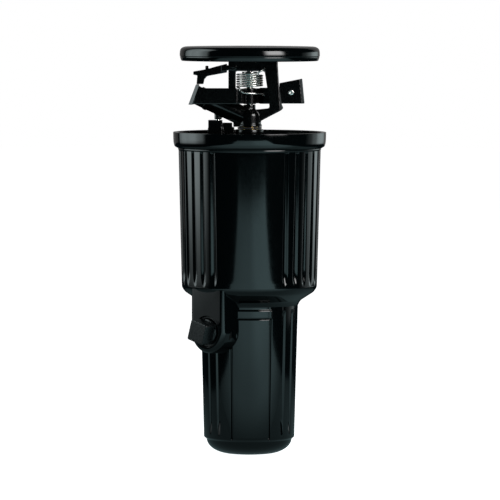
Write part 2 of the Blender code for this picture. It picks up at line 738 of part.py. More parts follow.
def build_bearing(joint):
    nipple_top = HUB_BORE_TOP - GAP
    profile = [
        (NIPPLE_BORE, nipple_top),
        (NIPPLE_RADIUS, nipple_top),
        (NIPPLE_RADIUS, NIPPLE_FLANGE_TOP),
        (NIPPLE_FLANGE_RADIUS, NIPPLE_FLANGE_TOP),
        (NIPPLE_FLANGE_RADIUS, NIPPLE_FLANGE_FOOT),
        (NIPPLE_BORE, NIPPLE_FLANGE_FOOT),
    ]
    as_part(turned("bearing_nipple", profile, RING_STEPS), joint, BRASS)
    upper_radius = HUB_LIP_RADIUS - 0.1 * MM
    upper = ring("upper_bearing_washer", upper_radius, SLEEVE_BORE, SLEEVE_TOP + GAP, HUB_FOOT - GAP)
    as_part(upper, joint, RUBBER)
    lower_radius = NIPPLE_FLANGE_RADIUS + 0.1 * MM
    lower_foot = BEARING_SPRING_TOP + BEARING_SPRING_WIRE + GAP
    lower = ring("lower_bearing_washer", lower_radius, SLEEVE_BORE, lower_foot, SLEEVE_FOOT - GAP)
    as_part(lower, joint, RUBBER)
    spring_ends = (BEARING_SPRING_FOOT, BEARING_SPRING_TOP)
    spring = coil("bearing_spring", BEARING_SPRING_RADIUS, BEARING_SPRING_WIRE, *spring_ends, 2.5)
    as_part(spring, joint, STEEL)


def build_nozzle(joint):
    """A tapered jet pushed into the barrel's end."""
    profile = [
        (NOZZLE_ORIFICE, 0.0),
        (NOZZLE_RADIUS, 0.0),
        (NOZZLE_RADIUS, -NOZZLE_LENGTH),
        (NOZZLE_RADIUS - 1.0 * MM, -NOZZLE_LENGTH),
        (NOZZLE_ORIFICE, -4.0 * MM),
    ]
    nozzle = turned("nozzle", profile, 24)
    tilt = Matrix.Rotation(BARREL_LIFT - math.pi / 2, 4, "Y")
    end = Matrix.Translation(barrel_point(BARREL_LENGTH - 0.5 * MM))
    nozzle.matrix_world = end @ tilt
    as_part(nozzle, joint, GREY_PLASTIC)


def build_cap(joint):
    underside_edge = CAP_UNDERSIDE - 1.2 * MM
    profile = [
        (0.0, CAP_CENTRE_TOP),
        (CAP_CENTRE_RADIUS - 1.2 * MM, CAP_CENTRE_TOP),
        (CAP_CENTRE_RADIUS, CAP_TOP),
        (CAP_RADIUS - 3.0 * MM, CAP_TOP),
        (CAP_RADIUS - 0.9 * MM, CAP_TOP - 0.9 * MM),
        (CAP_RADIUS, CAP_TOP - 3.0 * MM),
        (CAP_RADIUS, CAP_FOOT + 1.6 * MM),
        (CAP_RADIUS - 0.8 * MM, CAP_FOOT),
        (CAP_RADIUS - 2.2 * MM, CAP_FOOT),
        (CAP_RADIUS - 2.2 * MM, underside_edge - 2 * MM),
        (CAP_RADIUS - 4.2 * MM, underside_edge),
        (CAP_CENTRE_RADIUS, CAP_UNDERSIDE),
        (0.0, CAP_UNDERSIDE),
    ]
    cap = turned("cap", profile, CASE_STEPS, closed=False)
    holes = []
    above = CAP_CENTRE_TOP + CUT_MARGIN
    for name, x in CAP_SCREW_PLACES.items():
        way_foot = (x, 0, CAP_UNDERSIDE - CUT_MARGIN)
        through = rod(name + "_way", SCREW_SHANK_RADIUS + GAP, way_foot, (x, 0, above))
        recess_foot = (x, 0, SCREW_HEAD_FOOT - GAP)
        recess = rod(name + "_recess", SCREW_HEAD_RADIUS + GAP, recess_foot, (x, 0, above))
        holes += [through, recess]
        profile = [
            (0.0, SCREW_HEAD_TOP),
            (SCREW_HEAD_RADIUS, SCREW_HEAD_TOP),
            (SCREW_HEAD_RADIUS, SCREW_HEAD_FOOT),
            (SCREW_SHANK_RADIUS, SCREW_HEAD_FOOT),
            (SCREW_SHANK_RADIUS, SCREW_FOOT),
            (0.0, SCREW_FOOT),
        ]
        screw = turned(name, profile, PIN_STEPS, closed=False)
        screw.location = (x, 0, 0)
        as_part(screw, joint, STEEL)
    as_part(combine(cap, cut=holes), joint, BLACK_GLOSS)


def build_pins(joint):
    """The arm's upright pin, the trip lever's pin, the deflector's pin and the spring's retainer."""
    fulcrum = rod("fulcrum_pin", PIN_RADIUS, (0, 0, PIN_FOOT), (0, 0, PIN_TOP))
    as_part(fulcrum, joint, STEEL)
    retainer = ring("spring_retainer", RETAINER_RADIUS, PIN_RADIUS + GAP, RETAINER_FOOT, RETAINER_TOP)
    as_part(retainer, joint, STEEL)

    trip_profile = [
        (0.0, TRIP_PIN_TOP),
        (TRIP_PIN_RADIUS, TRIP_PIN_TOP),
        (TRIP_PIN_RADIUS, TRIP_PIN_HEAD_TOP),
        (TRIP_PIN_HEAD_RADIUS, TRIP_PIN_HEAD_TOP),
        (TRIP_PIN_HEAD_RADIUS, TRIP_PIN_HEAD_FOOT),
        (0.0, TRIP_PIN_HEAD_FOOT),
    ]
    trip_pin = turned("trip_pivot_pin", trip_profile, PIN_STEPS, closed=False)
    trip_pin.location = (TRIP_X, 0, 0)
    as_part(trip_pin, joint, STEEL)

    hinge_x, hinge_z = DEFLECTOR_HINGE
    ends = ((hinge_x, -DEFLECTOR_PIN_HALF, hinge_z), (hinge_x, DEFLECTOR_PIN_HALF, hinge_z))
    as_part(rod("deflector_pin", DEFLECTOR_PIN_RADIUS, *ends), joint, BLACK_MATTE)


def build_arm_spring(joint):
    spring_ends = (ARM_SPRING_FOOT, ARM_SPRING_TOP)
    turns = (ARM_SPRING_TURNS, 8)
    spring = coil("arm_spring", ARM_SPRING_RADIUS, ARM_SPRING_WIRE, *spring_ends, *turns)
    as_part(spring, joint, STEEL)


# Impact arm


def build_arm(joint):
    """The swinging arm: past the barrel's front to the vane in the jet, past the back to the tail."""
    hub = rod("impact_arm", ARM_HUB_RADIUS, (0, 0, ARM_FOOT), (0, 0, ARM_TOP - PANEL_INSET), RING_STEPS)
    web_foot = ARM_FOOT + WEB_INSET
    web_top = ARM_TOP - WEB_INSET
    front_inside = ARM_FRONT + ARM_THICKNESS
    back_inside = ARM_BACK - ARM_THICKNESS

    front_web_outline = [(-2.6, -3.6), (-4.2, 0.0), (-12.0, -7.9), (-12.0, -10.3), (-5.6, -10.3)]
    front_web = plate("front_web", [front_web_outline], web_foot, web_top, upright=False)
    front_panel_outline = [
        (-9.0, ARM_FOOT / MM),
        (-9.0, ARM_TOP / MM),
        (-33.0, ARM_TOP / MM),
        (-36.2, 262.6),
        (-41.0, ARM_FOOT / MM),
    ]
    front_panel = plate("front_panel", [front_panel_outline], ARM_FRONT, front_inside)
    vane_outline = [(-38.3, 263.2), (-35.9, 263.2), (-40.7, 249.0), (-43.6, 249.0)]
    vane = plate("vane", [vane_outline], ARM_FRONT - PANEL_INSET, VANE_BACK)

    back_web_outline = [(-1.0, 3.9), (3.4, 2.4), (10.4, 6.3), (10.4, 8.3), (7.6, 8.3)]
    back_web = plate("back_web", [back_web_outline], web_foot, web_top, upright=False)
    back_low = (BACK_PANEL_START, back_inside, ARM_FOOT)
    back_panel = block("back_panel", back_low, (BACK_PANEL_END, ARM_BACK, ARM_TOP))
    tail_outline = [(21.2, 249.5), (39.2, 249.5), (37.5, 267.2), (21.2, 264.0)]
    tail = plate("tail", [tail_outline], back_inside - PANEL_INSET, TAIL_BACK)

    bore = rod("arm_bore", ARM_BORE, (0, 0, ARM_FOOT - CUT_MARGIN), (0, 0, ARM_TOP + CUT_MARGIN))
    rivet_x, rivet_z = RIVET_PLACE
    hole_ends = ((rivet_x, 0, rivet_z), (rivet_x, TAIL_BACK + CUT_MARGIN, rivet_z))
    rivet_hole = rod("rivet_hole", RIVET_HOLE_RADIUS, *hole_ends)
    joined = [front_web, front_panel, vane, back_web, back_panel, tail]
    as_part(combine(hub, joined, [bore, rivet_hole]), joint, BLACK_MATTE)

    bushing = ring("arm_bushing", ARM_BORE - GAP, PIN_RADIUS + GAP, ARM_FOOT, ARM_TOP, PIN_STEPS)
    as_part(bushing, joint, BRASS)
    build_tail_rivet(joint, back_inside - PANEL_INSET)


def build_tail_rivet(joint, front_face):
    """A rivet through the arm's tail, a head on each face."""
    near = front_face - GAP
    far = TAIL_BACK + GAP
    profile = [
        (0.0, far + RIVET_HEAD_HEIGHT),
        (RIVET_HEAD_RADIUS, far + RIVET_HEAD_HEIGHT),
        (RIVET_HEAD_RADIUS, far),
        (RIVET_SHANK_RADIUS, far),
        (RIVET_SHANK_RADIUS, near),
        (RIVET_HEAD_RADIUS, near),
        (RIVET_HEAD_RADIUS, near - RIVET_HEAD_HEIGHT),
        (0.0, near - RIVET_HEAD_HEIGHT),
    ]
    rivet = turned("tail_rivet", profile, PIN_STEPS, closed=False)
    rivet_x, rivet_z = RIVET_PLACE
    lay_down = Matrix.Rotation(math.radians(-90), 4, "X")
    rivet.matrix_world = Matrix.Translation((rivet_x, 0, rivet_z)) @ lay_down
    as_part(rivet, joint, STEEL)


# Trip lever


def build_trip_lever(joint):
    """The lever under the barrel that the collars' tabs flip, to reverse the head."""
    tall_outline = [(-29.8, -4.6), (-19.9, -4.6), (-17.3, -2.4), (-17.3, 2.4), (-19.9, 4.6), (-29.8, 4.6)]
    body = plate("trip_lever", [tall_outline], TRIP_FOOT, TRIP_TOP, upright=False)
    shelf_low = (TRIP_SHELF_START, -TRIP_SHELF_HALF, TRIP_SHELF_FOOT)
    shelf = block("trip_shelf", shelf_low, (TRIP_SHELF_END, TRIP_SHELF_HALF, TRIP_SHELF_TOP))
    ledge = block("trip_ledge", shelf_low, (TRIP_LEDGE_END, TRIP_SHELF_HALF, TRIP_LEDGE_TOP))
    notch_low = (TRIP_NOTCH_START, -CUT_MARGIN, TRIP_SHELF_TOP)
    notch = block("trip_notch", notch_low, (TRIP_LEDGE_END, CUT_MARGIN, TRIP_TOP + CUT_MARGIN))
    bore_ends = ((TRIP_X, 0, TRIP_FOOT - CUT_MARGIN), (TRIP_X, 0, TRIP_TOP + CUT_MARGIN))
    bore = rod("trip_bore", TRIP_PIN_RADIUS + GAP, *bore_ends)
    as_part(combine(body, [shelf, ledge], [notch, bore]), joint, BLACK_MATTE)
    spring_ends = (TRIP_SPRING_FOOT, TRIP_SPRING_TOP)
    centre = (TRIP_X, 0.0)
    spring = coil("trip_spring", TRIP_SPRING_RADIUS, TRIP_SPRING_WIRE, *spring_ends, 3.5, centre=centre)
    as_part(spring, joint, STEEL)


# Deflector


def build_deflector(joint):
    """A sloping bar with a hanging flap, forked round the bridge's left leg."""
    bar_outline = [
        (-16.2, 278.0),
        (-24.8, 275.8),
        (-29.4, 274.4),
        (-29.4, 276.5),
        (-31.6, 276.5),
        (-31.6, 273.9),
        (-40.2, 272.4),
        (-40.2, 270.2),
        (-37.3, 269.7),
        (-37.9, 263.5),
        (-32.9, 263.5),
        (-32.2, 267.0),
        (-30.2, 269.2),
        (-16.2, 271.8),
    ]
    bar = plate("distance_deflector", [bar_outline], -BAR_HALF, BAR_HALF)
    yoke = block("yoke", (-20.0 * MM, -EAR_OUTSIDE, 272.6 * MM), (-16.3 * MM, EAR_OUTSIDE, 276.9 * MM))
    hinge_x, hinge_z = DEFLECTOR_HINGE
    ears = []
    hole_radius = DEFLECTOR_PIN_RADIUS + GAP
    for side in (-1, 1):
        low, high = sorted((side * EAR_INSIDE, side * EAR_OUTSIDE))
        ear_low = (-18.0 * MM, low, hinge_z - 2.6 * MM)
        ears.append(block("ear_plate", ear_low, (hinge_x, high, hinge_z + 0.8 * MM)))
        disc_ends = ((hinge_x, low, hinge_z), (hinge_x, high, hinge_z))
        ears.append(rod("ear_disc", EAR_DISC_RADIUS, *disc_ends))
    hole_ends = ((hinge_x, -CUT_MARGIN * 2, hinge_z), (hinge_x, CUT_MARGIN * 2, hinge_z))
    hole = rod("ear_hole", hole_radius, *hole_ends)
    as_part(combine(bar, [yoke] + ears, [hole]), joint, BLACK_MATTE)


def build():
    build_case()
    build_side_plug()
    build_riser_guide()

    riser = new_joint("riser_slide_axis", (0, 0, BASE_BOTTOM))
    build_riser(riser)

    collar_joints = {}
    for name, foot in COLLAR_FEET.items():
        collar_joints[name] = new_joint(name + "_axis", (0, 0, foot))
    build_trip_collars(collar_joints)

    head = new_joint("head_turn_axis", (0, 0, HUB_FOOT))
    build_drive_body(head)
    build_bearing(head)
    build_nozzle(head)
    build_pins(head)
    build_arm_spring(head)
    build_cap(head)

    build_arm(new_joint("arm_swing_axis", (0, 0, ARM_FOOT)))
    build_trip_lever(new_joint("trip_lever_axis", (TRIP_X, 0, TRIP_FOOT)))
    hinge_x, hinge_z = DEFLECTOR_HINGE
    build_deflector(new_joint("deflector_axis", (hinge_x, 0, hinge_z)))


build()
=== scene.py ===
"""The looks of a pop-up impact sprinkler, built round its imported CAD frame.

Outlines are in millimetres and everything else is in metres. The camera stands on the -Y side and
the nozzle points to -X. Each piece rides on the CAD body that it belongs to.
"""

import math

import bmesh
import bpy
from mathutils import Matrix, Vector


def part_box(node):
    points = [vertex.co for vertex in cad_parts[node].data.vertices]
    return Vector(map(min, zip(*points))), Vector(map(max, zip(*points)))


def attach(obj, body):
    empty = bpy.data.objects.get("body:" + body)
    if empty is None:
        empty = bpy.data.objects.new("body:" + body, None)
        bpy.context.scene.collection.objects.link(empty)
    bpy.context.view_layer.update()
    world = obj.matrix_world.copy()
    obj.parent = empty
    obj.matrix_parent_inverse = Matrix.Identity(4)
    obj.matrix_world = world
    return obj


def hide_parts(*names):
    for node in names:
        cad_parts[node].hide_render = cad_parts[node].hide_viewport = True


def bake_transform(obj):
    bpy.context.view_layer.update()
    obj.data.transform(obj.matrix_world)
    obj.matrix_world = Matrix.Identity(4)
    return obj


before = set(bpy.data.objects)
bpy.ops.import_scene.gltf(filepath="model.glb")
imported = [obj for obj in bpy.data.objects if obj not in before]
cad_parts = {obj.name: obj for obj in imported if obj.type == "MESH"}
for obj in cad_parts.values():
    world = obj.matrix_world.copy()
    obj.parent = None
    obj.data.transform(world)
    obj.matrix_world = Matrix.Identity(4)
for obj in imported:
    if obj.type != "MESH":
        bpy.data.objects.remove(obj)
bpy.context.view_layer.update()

MM = 0.001
TURN_STEPS = 96

# Places that several pieces share, in millimetres
SLEEVE_BORE = 6.3
RISER_BORE = 7.6
GUIDE_BORE = 9.8
TRIP_X = -22.5
TRIP_BORE = 1.8
HINGE_X = -12.2
HINGE_HEIGHT = 276.0
RIVET_X = 29.4
RIVET_HEIGHT = 257.5
ARM_FOOT = 249.3
ARM_TOP = 260.8
WEB_FOOT = 249.7
WEB_TOP = 260.4
ARM_SPRING_FOOT = 261.9
ARM_SPRING_TOP = 270.9


# Places read from the frame


def box_mm(node):
    """A node's lowest and highest corners, in millimetres."""
    low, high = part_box(node)
    return low / MM, high / MM


def radius_mm(node):
    """The outer radius of a node turned round an upright axis."""
    low, high = box_mm(node)
    return (high.x - low.x) / 2


# Mesh helpers


def new_object(name, data):
    piece = bpy.data.objects.new(name, data)
    bpy.context.scene.collection.objects.link(piece)
    return piece


def smooth_shaded(piece, angle=35):
    piece.data.shade_smooth()
    piece.data.set_sharp_from_angle(angle=math.radians(angle))
    return piece


def with_modifiers(piece):
    """The piece with its modifiers worked into its mesh."""
    bpy.context.view_layer.update()
    evaluated = piece.evaluated_get(bpy.context.evaluated_depsgraph_get())
    mesh = bpy.data.meshes.new_from_object(evaluated)
    mesh.transform(piece.matrix_world)
    name = piece.name
    bpy.data.objects.remove(piece, do_unlink=True)
    return new_object(name, mesh)


def rounded(points, reach, closed=True, steps=4):
    """An outline with its corners curved. A point's third number is its own reach along the edges."""
    result = []
    count = len(points)
    for index, point in enumerate(points):
        corner = Vector(point[:2])
        own_reach = point[2] if len(point) > 2 else reach
        at_end = not closed and index in (0, count - 1)
        if at_end or own_reach == 0:
            result.append(tuple(corner))
            continue
        back = Vector(points[index - 1][:2]) - corner
        ahead = Vector(points[(index + 1) % count][:2]) - corner
        cut = min(own_reach, back.length * 0.45, ahead.length * 0.45)
        start = corner + back.normalized() * cut
        end = corner + ahead.normalized() * cut
        for step in range(steps + 1):
            t = step / steps
            result.append(tuple(start.lerp(corner, t).lerp(corner.lerp(end, t), t)))
    return result


def skin(name, rows, closed):
    """A closed surface through rows of points round Z, outer side from top to bottom.

    A row of one point is a pole on the axis.
    """
    vertices = []
    starts = []
    for row in rows:
        starts.append(len(vertices))
        vertices += row
    pairs = [(i, i + 1) for i in range(len(rows) - 1)]
    if closed:
        pairs.append((len(rows) - 1, 0))
    faces = []
    for upper, lower in pairs:
        count = max(len(rows[upper]), len(rows[lower]))
        for here in range(count):
            beside = (here + 1) % count
            corners = []
            for row, column in ((upper, here), (lower, here), (lower, beside), (upper, beside)):
                corner = starts[row] + column % len(rows[row])
                if corner not in corners:
                    corners.append(corner)
            faces.append(corners)
    mesh = bpy.data.meshes.new(name)
    mesh.from_pydata(vertices, [], faces)
    return new_object(name, mesh)


def turned(name, profile, reach=0.25, closed=True, steps=TURN_STEPS, axis=(0.0, 0.0)):
    """A profile of (radius, height) in millimetres turned round Z, its corners rounded."""
    rows = []
    for radius, height in rounded(profile, reach, closed):
        if radius < 0.0001:
            rows.append([(axis[0] * MM, axis[1] * MM, height * MM)])
            continue
        row = []
        for step in range(steps):
            angle = 2 * math.pi * step / steps
            x = (axis[0] + radius * math.cos(angle)) * MM
            y = (axis[1] + radius * math.sin(angle)) * MM
            row.append((x, y, height * MM))
        rows.append(row)
    return smooth_shaded(skin(name, rows, closed), 50)


def ring(name, node, inner):
    """A ring with rounded edges in the place of a node, with this inner radius."""
    low, high = box_mm(node)
    outer = radius_mm(node)
    profile = [(inner, high.z), (outer, high.z), (outer, low.z), (inner, low.z)]
    return turned(name, profile)


def rod(name, radius, start, end, reach=0.3, steps=48):
    """A round bar between two points, its ends chamfered. All in millimetres."""
    start = Vector(start) * MM
    direction = Vector(end) * MM - start
    length = direction.length / MM
    profile = [(0.0, length), (radius, length), (radius, 0.0), (0.0, 0.0)]
    bar = turned(name, profile, reach, closed=False, steps=steps)
    turn = direction.to_track_quat("Z", "Y").to_matrix().to_4x4()
    bar.data.transform(Matrix.Translation(start) @ turn)
    return bar


def plate(name, outlines, low, high, upright=True, bevel=0.0):
    """Flat outlines in millimetres with a thickness: the first is the edge and the rest are holes.

    Upright outlines are (x, z) and run from low to high in Y. The others are (x, y), and run in Z.
    """
    curve = bpy.data.curves.new(name, "CURVE")
    curve.dimensions = "2D"
    curve.fill_mode = "BOTH"
    curve.extrude = (high - low) / 2 * MM
    for outline in outlines:
        spline = curve.splines.new("POLY")
        spline.points.add(len(outline) - 1)
        for point, (across, up) in zip(spline.points, outline):
            point.co = (across * MM, up * MM, 0.0, 1.0)
        spline.use_cyclic_u = True
    flat = new_object(name, curve)
    middle = (low + high) / 2 * MM
    if upright:
        flat.rotation_euler = (math.radians(90), 0, 0)
        flat.location = (0, middle, 0)
    else:
        flat.location = (0, 0, middle)
    solid = with_modifiers(flat)
    shape = bmesh.new()
    shape.from_mesh(solid.data)
    bmesh.ops.remove_doubles(shape, verts=shape.verts, dist=0.000001)
    shape.to_mesh(solid.data)
    shape.free()
    solid.data.materials.clear()
    if bevel:
        edge = solid.modifiers.new("edge", "BEVEL")
        edge.width = bevel * MM
        edge.segments = 3
        edge.limit_method = "ANGLE"
        solid = with_modifiers(solid)
    return solid


def block(name, low, high):
    low_x, low_y, low_z = low
    high_x, high_y, high_z = high
    outline = [(low_x, low_z), (high_x, low_z), (high_x, high_z), (low_x, high_z)]
    return plate(name, [outline], low_y, high_y)


def shave(solid, point, normal):
    """Cuts away what lies beyond a plane, and closes the cut. The point is in millimetres."""
    shape = bmesh.new()
    shape.from_mesh(solid.data)
    geometry = shape.verts[:] + shape.edges[:] + shape.faces[:]
    place = Vector(point) * MM
    cut = bmesh.ops.bisect_plane(
        shape, geom=geometry, plane_co=place, plane_no=Vector(normal), clear_outer=True, dist=1e-7
    )
    edges = [item for item in cut["geom_cut"] if isinstance(item, bmesh.types.BMEdge)]
    bmesh.ops.holes_fill(shape, edges=edges)
    shape.to_mesh(solid.data)
    shape.free()
    return solid


def chamfer_normal(azimuth, line):
    """The outward normal of an upright side face, which turns azimuth degrees from -Y and holds a line."""
    angle = math.radians(azimuth)
    along = Vector((math.cos(angle), math.sin(angle), 0.0))
    return along.cross(Vector(line)).normalized() * math.copysign(1.0, line[2])


def bored(piece, tools):
    """Cuts each tool out of the piece, and removes the tools."""
    for tool in tools:
        cut = piece.modifiers.new("cut", "BOOLEAN")
        cut.operation = "DIFFERENCE"
        cut.solver = "EXACT"
        cut.object = tool
    piece = with_modifiers(piece)
    for tool in tools:
        bpy.data.objects.remove(tool, do_unlink=True)
    return smooth_shaded(piece)


def fused(name, solids, voxel, softness=3):
    """Closed solids grown into one moulding, with softened edges and fillets."""
    shape = bmesh.new()
    for solid in solids:
        shape.from_mesh(solid.data)
        bpy.data.objects.remove(solid, do_unlink=True)
    mesh = bpy.data.meshes.new(name)
    shape.to_mesh(mesh)
    shape.free()
    piece = new_object(name, mesh)
    grow = piece.modifiers.new("grow", "REMESH")
    grow.mode = "VOXEL"
    grow.voxel_size = voxel * MM
    soften = piece.modifiers.new("soften", "SMOOTH")
    soften.factor = 0.5
    soften.iterations = softness
    piece = with_modifiers(piece)
    piece.data.shade_smooth()
    return piece


def wire(name, points, radius, sides=10):
    """A bent round wire through points in metres, its ends closed."""
    curve = bpy.data.curves.new(name, "CURVE")
    curve.dimensions = "3D"
    curve.bevel_depth = radius * MM
    curve.bevel_resolution = sides // 2 - 1
    curve.use_fill_caps = True
    spline = curve.splines.new("POLY")
    spline.points.add(len(points) - 1)
    for point, place in zip(spline.points, points):
        point.co = (*place, 1.0)
    piece = with_modifiers(new_object(name, curve))
    piece.data.materials.clear()
    shape = bmesh.new()
    shape.from_mesh(piece.data)
    bmesh.ops.remove_doubles(shape, verts=shape.verts, dist=0.000001)
    shape.to_mesh(piece.data)
    shape.free()
    return smooth_shaded(piece, 60)


def helix(radius, foot, top, turns, start_angle=0.0, per_turn=36, axis=(0.0, 0.0)):
    """Points along a coil in metres, from its foot to its top. Sizes are in millimetres."""
    points = []
    count = int(turns * per_turn)
    for step in range(count + 1):
        share = step / count
        angle = math.radians(start_angle) + share * turns * 2 * math.pi
        x = axis[0] + radius * math.cos(angle)
        y = axis[1] + radius * math.sin(angle)
        points.append(Vector((x, y, foot + share * (top - foot))) * MM)
    return points


def smooth_path(corners, per_span=8):
    """Points in metres along a smooth curve through corners in millimetres."""
    points = []
    last = len(corners) - 1
    places = [Vector(corner) * MM for corner in corners]
    for index in range(last):
        before = places[max(index - 1, 0)]
        here = places[index]
        there = places[index + 1]
        after = places[min(index + 2, last)]
        for step in range(per_span):
            t = step / per_span
            pull = (there - before) * t + (2 * before - 5 * here + 4 * there - after) * t**2
            pull += (3 * here - before - 3 * there + after) * t**3
            points.append(here + pull / 2)
    points.append(places[last])
    return points


# Materials


def link(tree, source, output, target, socket):
    tree.links.new(source.outputs[output], target.inputs[socket])


def noise(tree, coordinates, scale, detail=4.0):
    node = tree.nodes.new("ShaderNodeTexNoise")
    node.inputs["Scale"].default_value = scale
    node.inputs["Detail"].default_value = detail
    link(tree, coordinates, "Object", node, "Vector")
    return node


def spread(tree, source, low, high):
    """The source's values spread between two numbers."""
    node = tree.nodes.new("ShaderNodeMapRange")
    node.inputs["From Min"].default_value = 0.35
    node.inputs["From Max"].default_value = 0.65
    node.inputs["To Min"].default_value = low
    node.inputs["To Max"].default_value = high
    link(tree, source, "Fac", node, "Value")
    return node


CLOUDINESS = 0.25
CLOUD_SCALE = 60.0
WEAR_SCALE = CLOUD_SCALE * 9
WEAR = 0.15


def finish(name, color, roughness, metallic=0.0, bumps=()):
    """A Principled material with cloudy colour and roughness, and bumps of (scale, depth in mm)."""
    material = bpy.data.materials.new(name)
    material.use_nodes = True
    tree = material.node_tree
    shader = tree.nodes["Principled BSDF"]
    shader.inputs["Metallic"].default_value = metallic
    shader.inputs["IOR"].default_value = 1.5
    coordinates = tree.nodes.new("ShaderNodeTexCoord")

    clouds = noise(tree, coordinates, CLOUD_SCALE)
    tint = tree.nodes.new("ShaderNodeMix")
    tint.data_type = "RGBA"
    tint.inputs["A"].default_value = (*[channel * (1 - CLOUDINESS) for channel in color], 1.0)
    tint.inputs["B"].default_value = (*[channel * (1 + CLOUDINESS) for channel in color], 1.0)
    link(tree, clouds, "Fac", tint, "Factor")
    link(tree, tint, "Result", shader, "Base Color")

    wear = noise(tree, coordinates, WEAR_SCALE)
    polish = spread(tree, wear, roughness * (1 - WEAR), roughness * (1 + WEAR))
    link(tree, polish, "Result", shader, "Roughness")

    previous = None
    for scale, depth in bumps:
        grain = noise(tree, coordinates, scale, 3.0)
        bump = tree.nodes.new("ShaderNodeBump")
        bump.inputs["Strength"].default_value = 1.0
        bump.inputs["Distance"].default_value = depth * MM
        link(tree, grain, "Fac", bump, "Height")
        if previous is not None:
            link(tree, previous, "Normal", bump, "Normal")
        previous = bump
    if previous is not None:
        link(tree, previous, "Normal", shader, "Normal")
    return material


FINISHES = {
    "case_plastic": finish(
        "case_gloss", (0.0006, 0.0012, 0.0014), 0.075, bumps=((90, 0.006), (1400, 0.0004))
    ),
    "cap_plastic": finish(
        "cap_gloss", (0.0006, 0.0012, 0.0014), 0.10, bumps=((110, 0.006), (1400, 0.0004))
    ),
    "plug_plastic": finish(
        "plug_satin", (0.0025, 0.0035, 0.0038), 0.24, bumps=((260, 0.008), (2600, 0.0015))
    ),
    "head_plastic": finish(
        "head_satin", (0.0010, 0.0012, 0.0012), 0.15, bumps=((320, 0.004), (2600, 0.0006))
    ),
    "inner_plastic": finish(
        "inner_satin", (0.0020, 0.0024, 0.0026), 0.14, bumps=((320, 0.004), (2600, 0.0006))
    ),
    "grey_plastic": finish(
        "grey_moulding", (0.26, 0.27, 0.27), 0.38, bumps=((420, 0.006), (3000, 0.002))
    ),
    "rubber": finish("black_rubber", (0.010, 0.010, 0.010), 0.62, bumps=((1800, 0.010),)),
    "steel": finish("spring_steel", (0.80, 0.78, 0.74), 0.24, 1.0, bumps=((900, 0.004), (5000, 0.001))),
    "brass": finish("brass", (0.58, 0.41, 0.17), 0.30, 1.0, bumps=((700, 0.004), (4000, 0.002))),
}


def place(piece, body, slot, *nodes):
    """Gives a piece the finish of its slot, and lets it ride on a body in the place of CAD nodes."""
    piece.data.materials.clear()
    piece.data.materials.append(FINISHES[slot])
    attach(piece, body)
    if nodes:
        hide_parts(*nodes)
    return piece


# Case: two turned mouldings with flutes, and the side inlet's boss

FRONT = -math.pi / 2


def smoothstep(low, high, value):
    share = min(max((value - low) / (high - low), 0.0), 1.0)
    return share * share * (3 - 2 * share)


def on_case(radius, front_angle, height):
    """A point in metres at an angle in degrees from the case's front, towards +X."""
    angle = FRONT + math.radians(front_angle)
    return (radius * math.cos(angle) * MM, radius * math.sin(angle) * MM, height * MM)


CAN_FLUTE_TOP = 216.6
CAN_FLUTE_FOOT = 120.4
CAN_FLUTE_DEPTH = 1.5
CAN_FLUTE_GAP = 10.7
CAN_FLUTE_FIRST = 31.15
CAN_FLUTES_PER_SIDE = 12
CAN_FLUTE_NARROW = 1.9
CAN_FLUTE_WIDENING = 1.1
CAN_FLUTE_FADE = 9.0
FLUTE_COLUMNS = (-1.25, -1.1, -1.0, -0.9, -0.75, -0.5, -0.25, 0.0, 0.25, 0.5, 0.75, 0.9, 1.0, 1.1, 1.25)


def can_columns():
    """Each column's angle from the front at a flute half-width of zero, and its place across a flute."""
    columns = []
    half_plain = CAN_FLUTE_FIRST - CAN_FLUTE_GAP / 2
    plain_steps = 32
    for side in (0, 1):
        middle = 180 * side
        for step in range(plain_steps):
            angle = middle - half_plain + 2 * half_plain * step / plain_steps
            columns.append((angle, None))
        for flute in range(CAN_FLUTES_PER_SIDE):
            centre = middle + CAN_FLUTE_FIRST + CAN_FLUTE_GAP * flute
            columns.append((centre - CAN_FLUTE_GAP / 2, None))
            for across in FLUTE_COLUMNS:
                columns.append((centre, across))
    return columns


def can_row(radius, height, columns):
    """One row of the can's outside, sunk along the flutes, which widen downwards and end in an arch."""
    down = (CAN_FLUTE_TOP - height) / (CAN_FLUTE_TOP - CAN_FLUTE_FOOT)
    half_width = CAN_FLUTE_NARROW + CAN_FLUTE_WIDENING * min(max(down, 0.0), 1.0)
    from_foot = height - CAN_FLUTE_FOOT
    short_of_full = 1 - min(max(from_foot / CAN_FLUTE_FADE, 0.0), 1.0)
    arch = math.sqrt(max(1 - short_of_full**2, 0.0))
    depth = CAN_FLUTE_DEPTH * smoothstep(0.0, CAN_FLUTE_FADE, from_foot)
    depth *= smoothstep(0.0, 0.9, CAN_FLUTE_TOP - height)
    row = []
    for centre, across in columns:
        if across is None:
            row.append(on_case(radius, centre, height))
            continue
        sunk = depth * (1 - smoothstep(0.1, 1.12, abs(across)))
        angle = centre + across * half_width * max(arch, 0.25)
        row.append(on_case(radius - sunk, angle, height))
    return row


def between(start, end, count):
    """Evenly spaced points from start up to, but without, end."""
    points = []
    for step in range(count):
        t = step / count
        points.append((start[0] + (end[0] - start[0]) * t, start[1] + (end[1] - start[1]) * t))
    return points


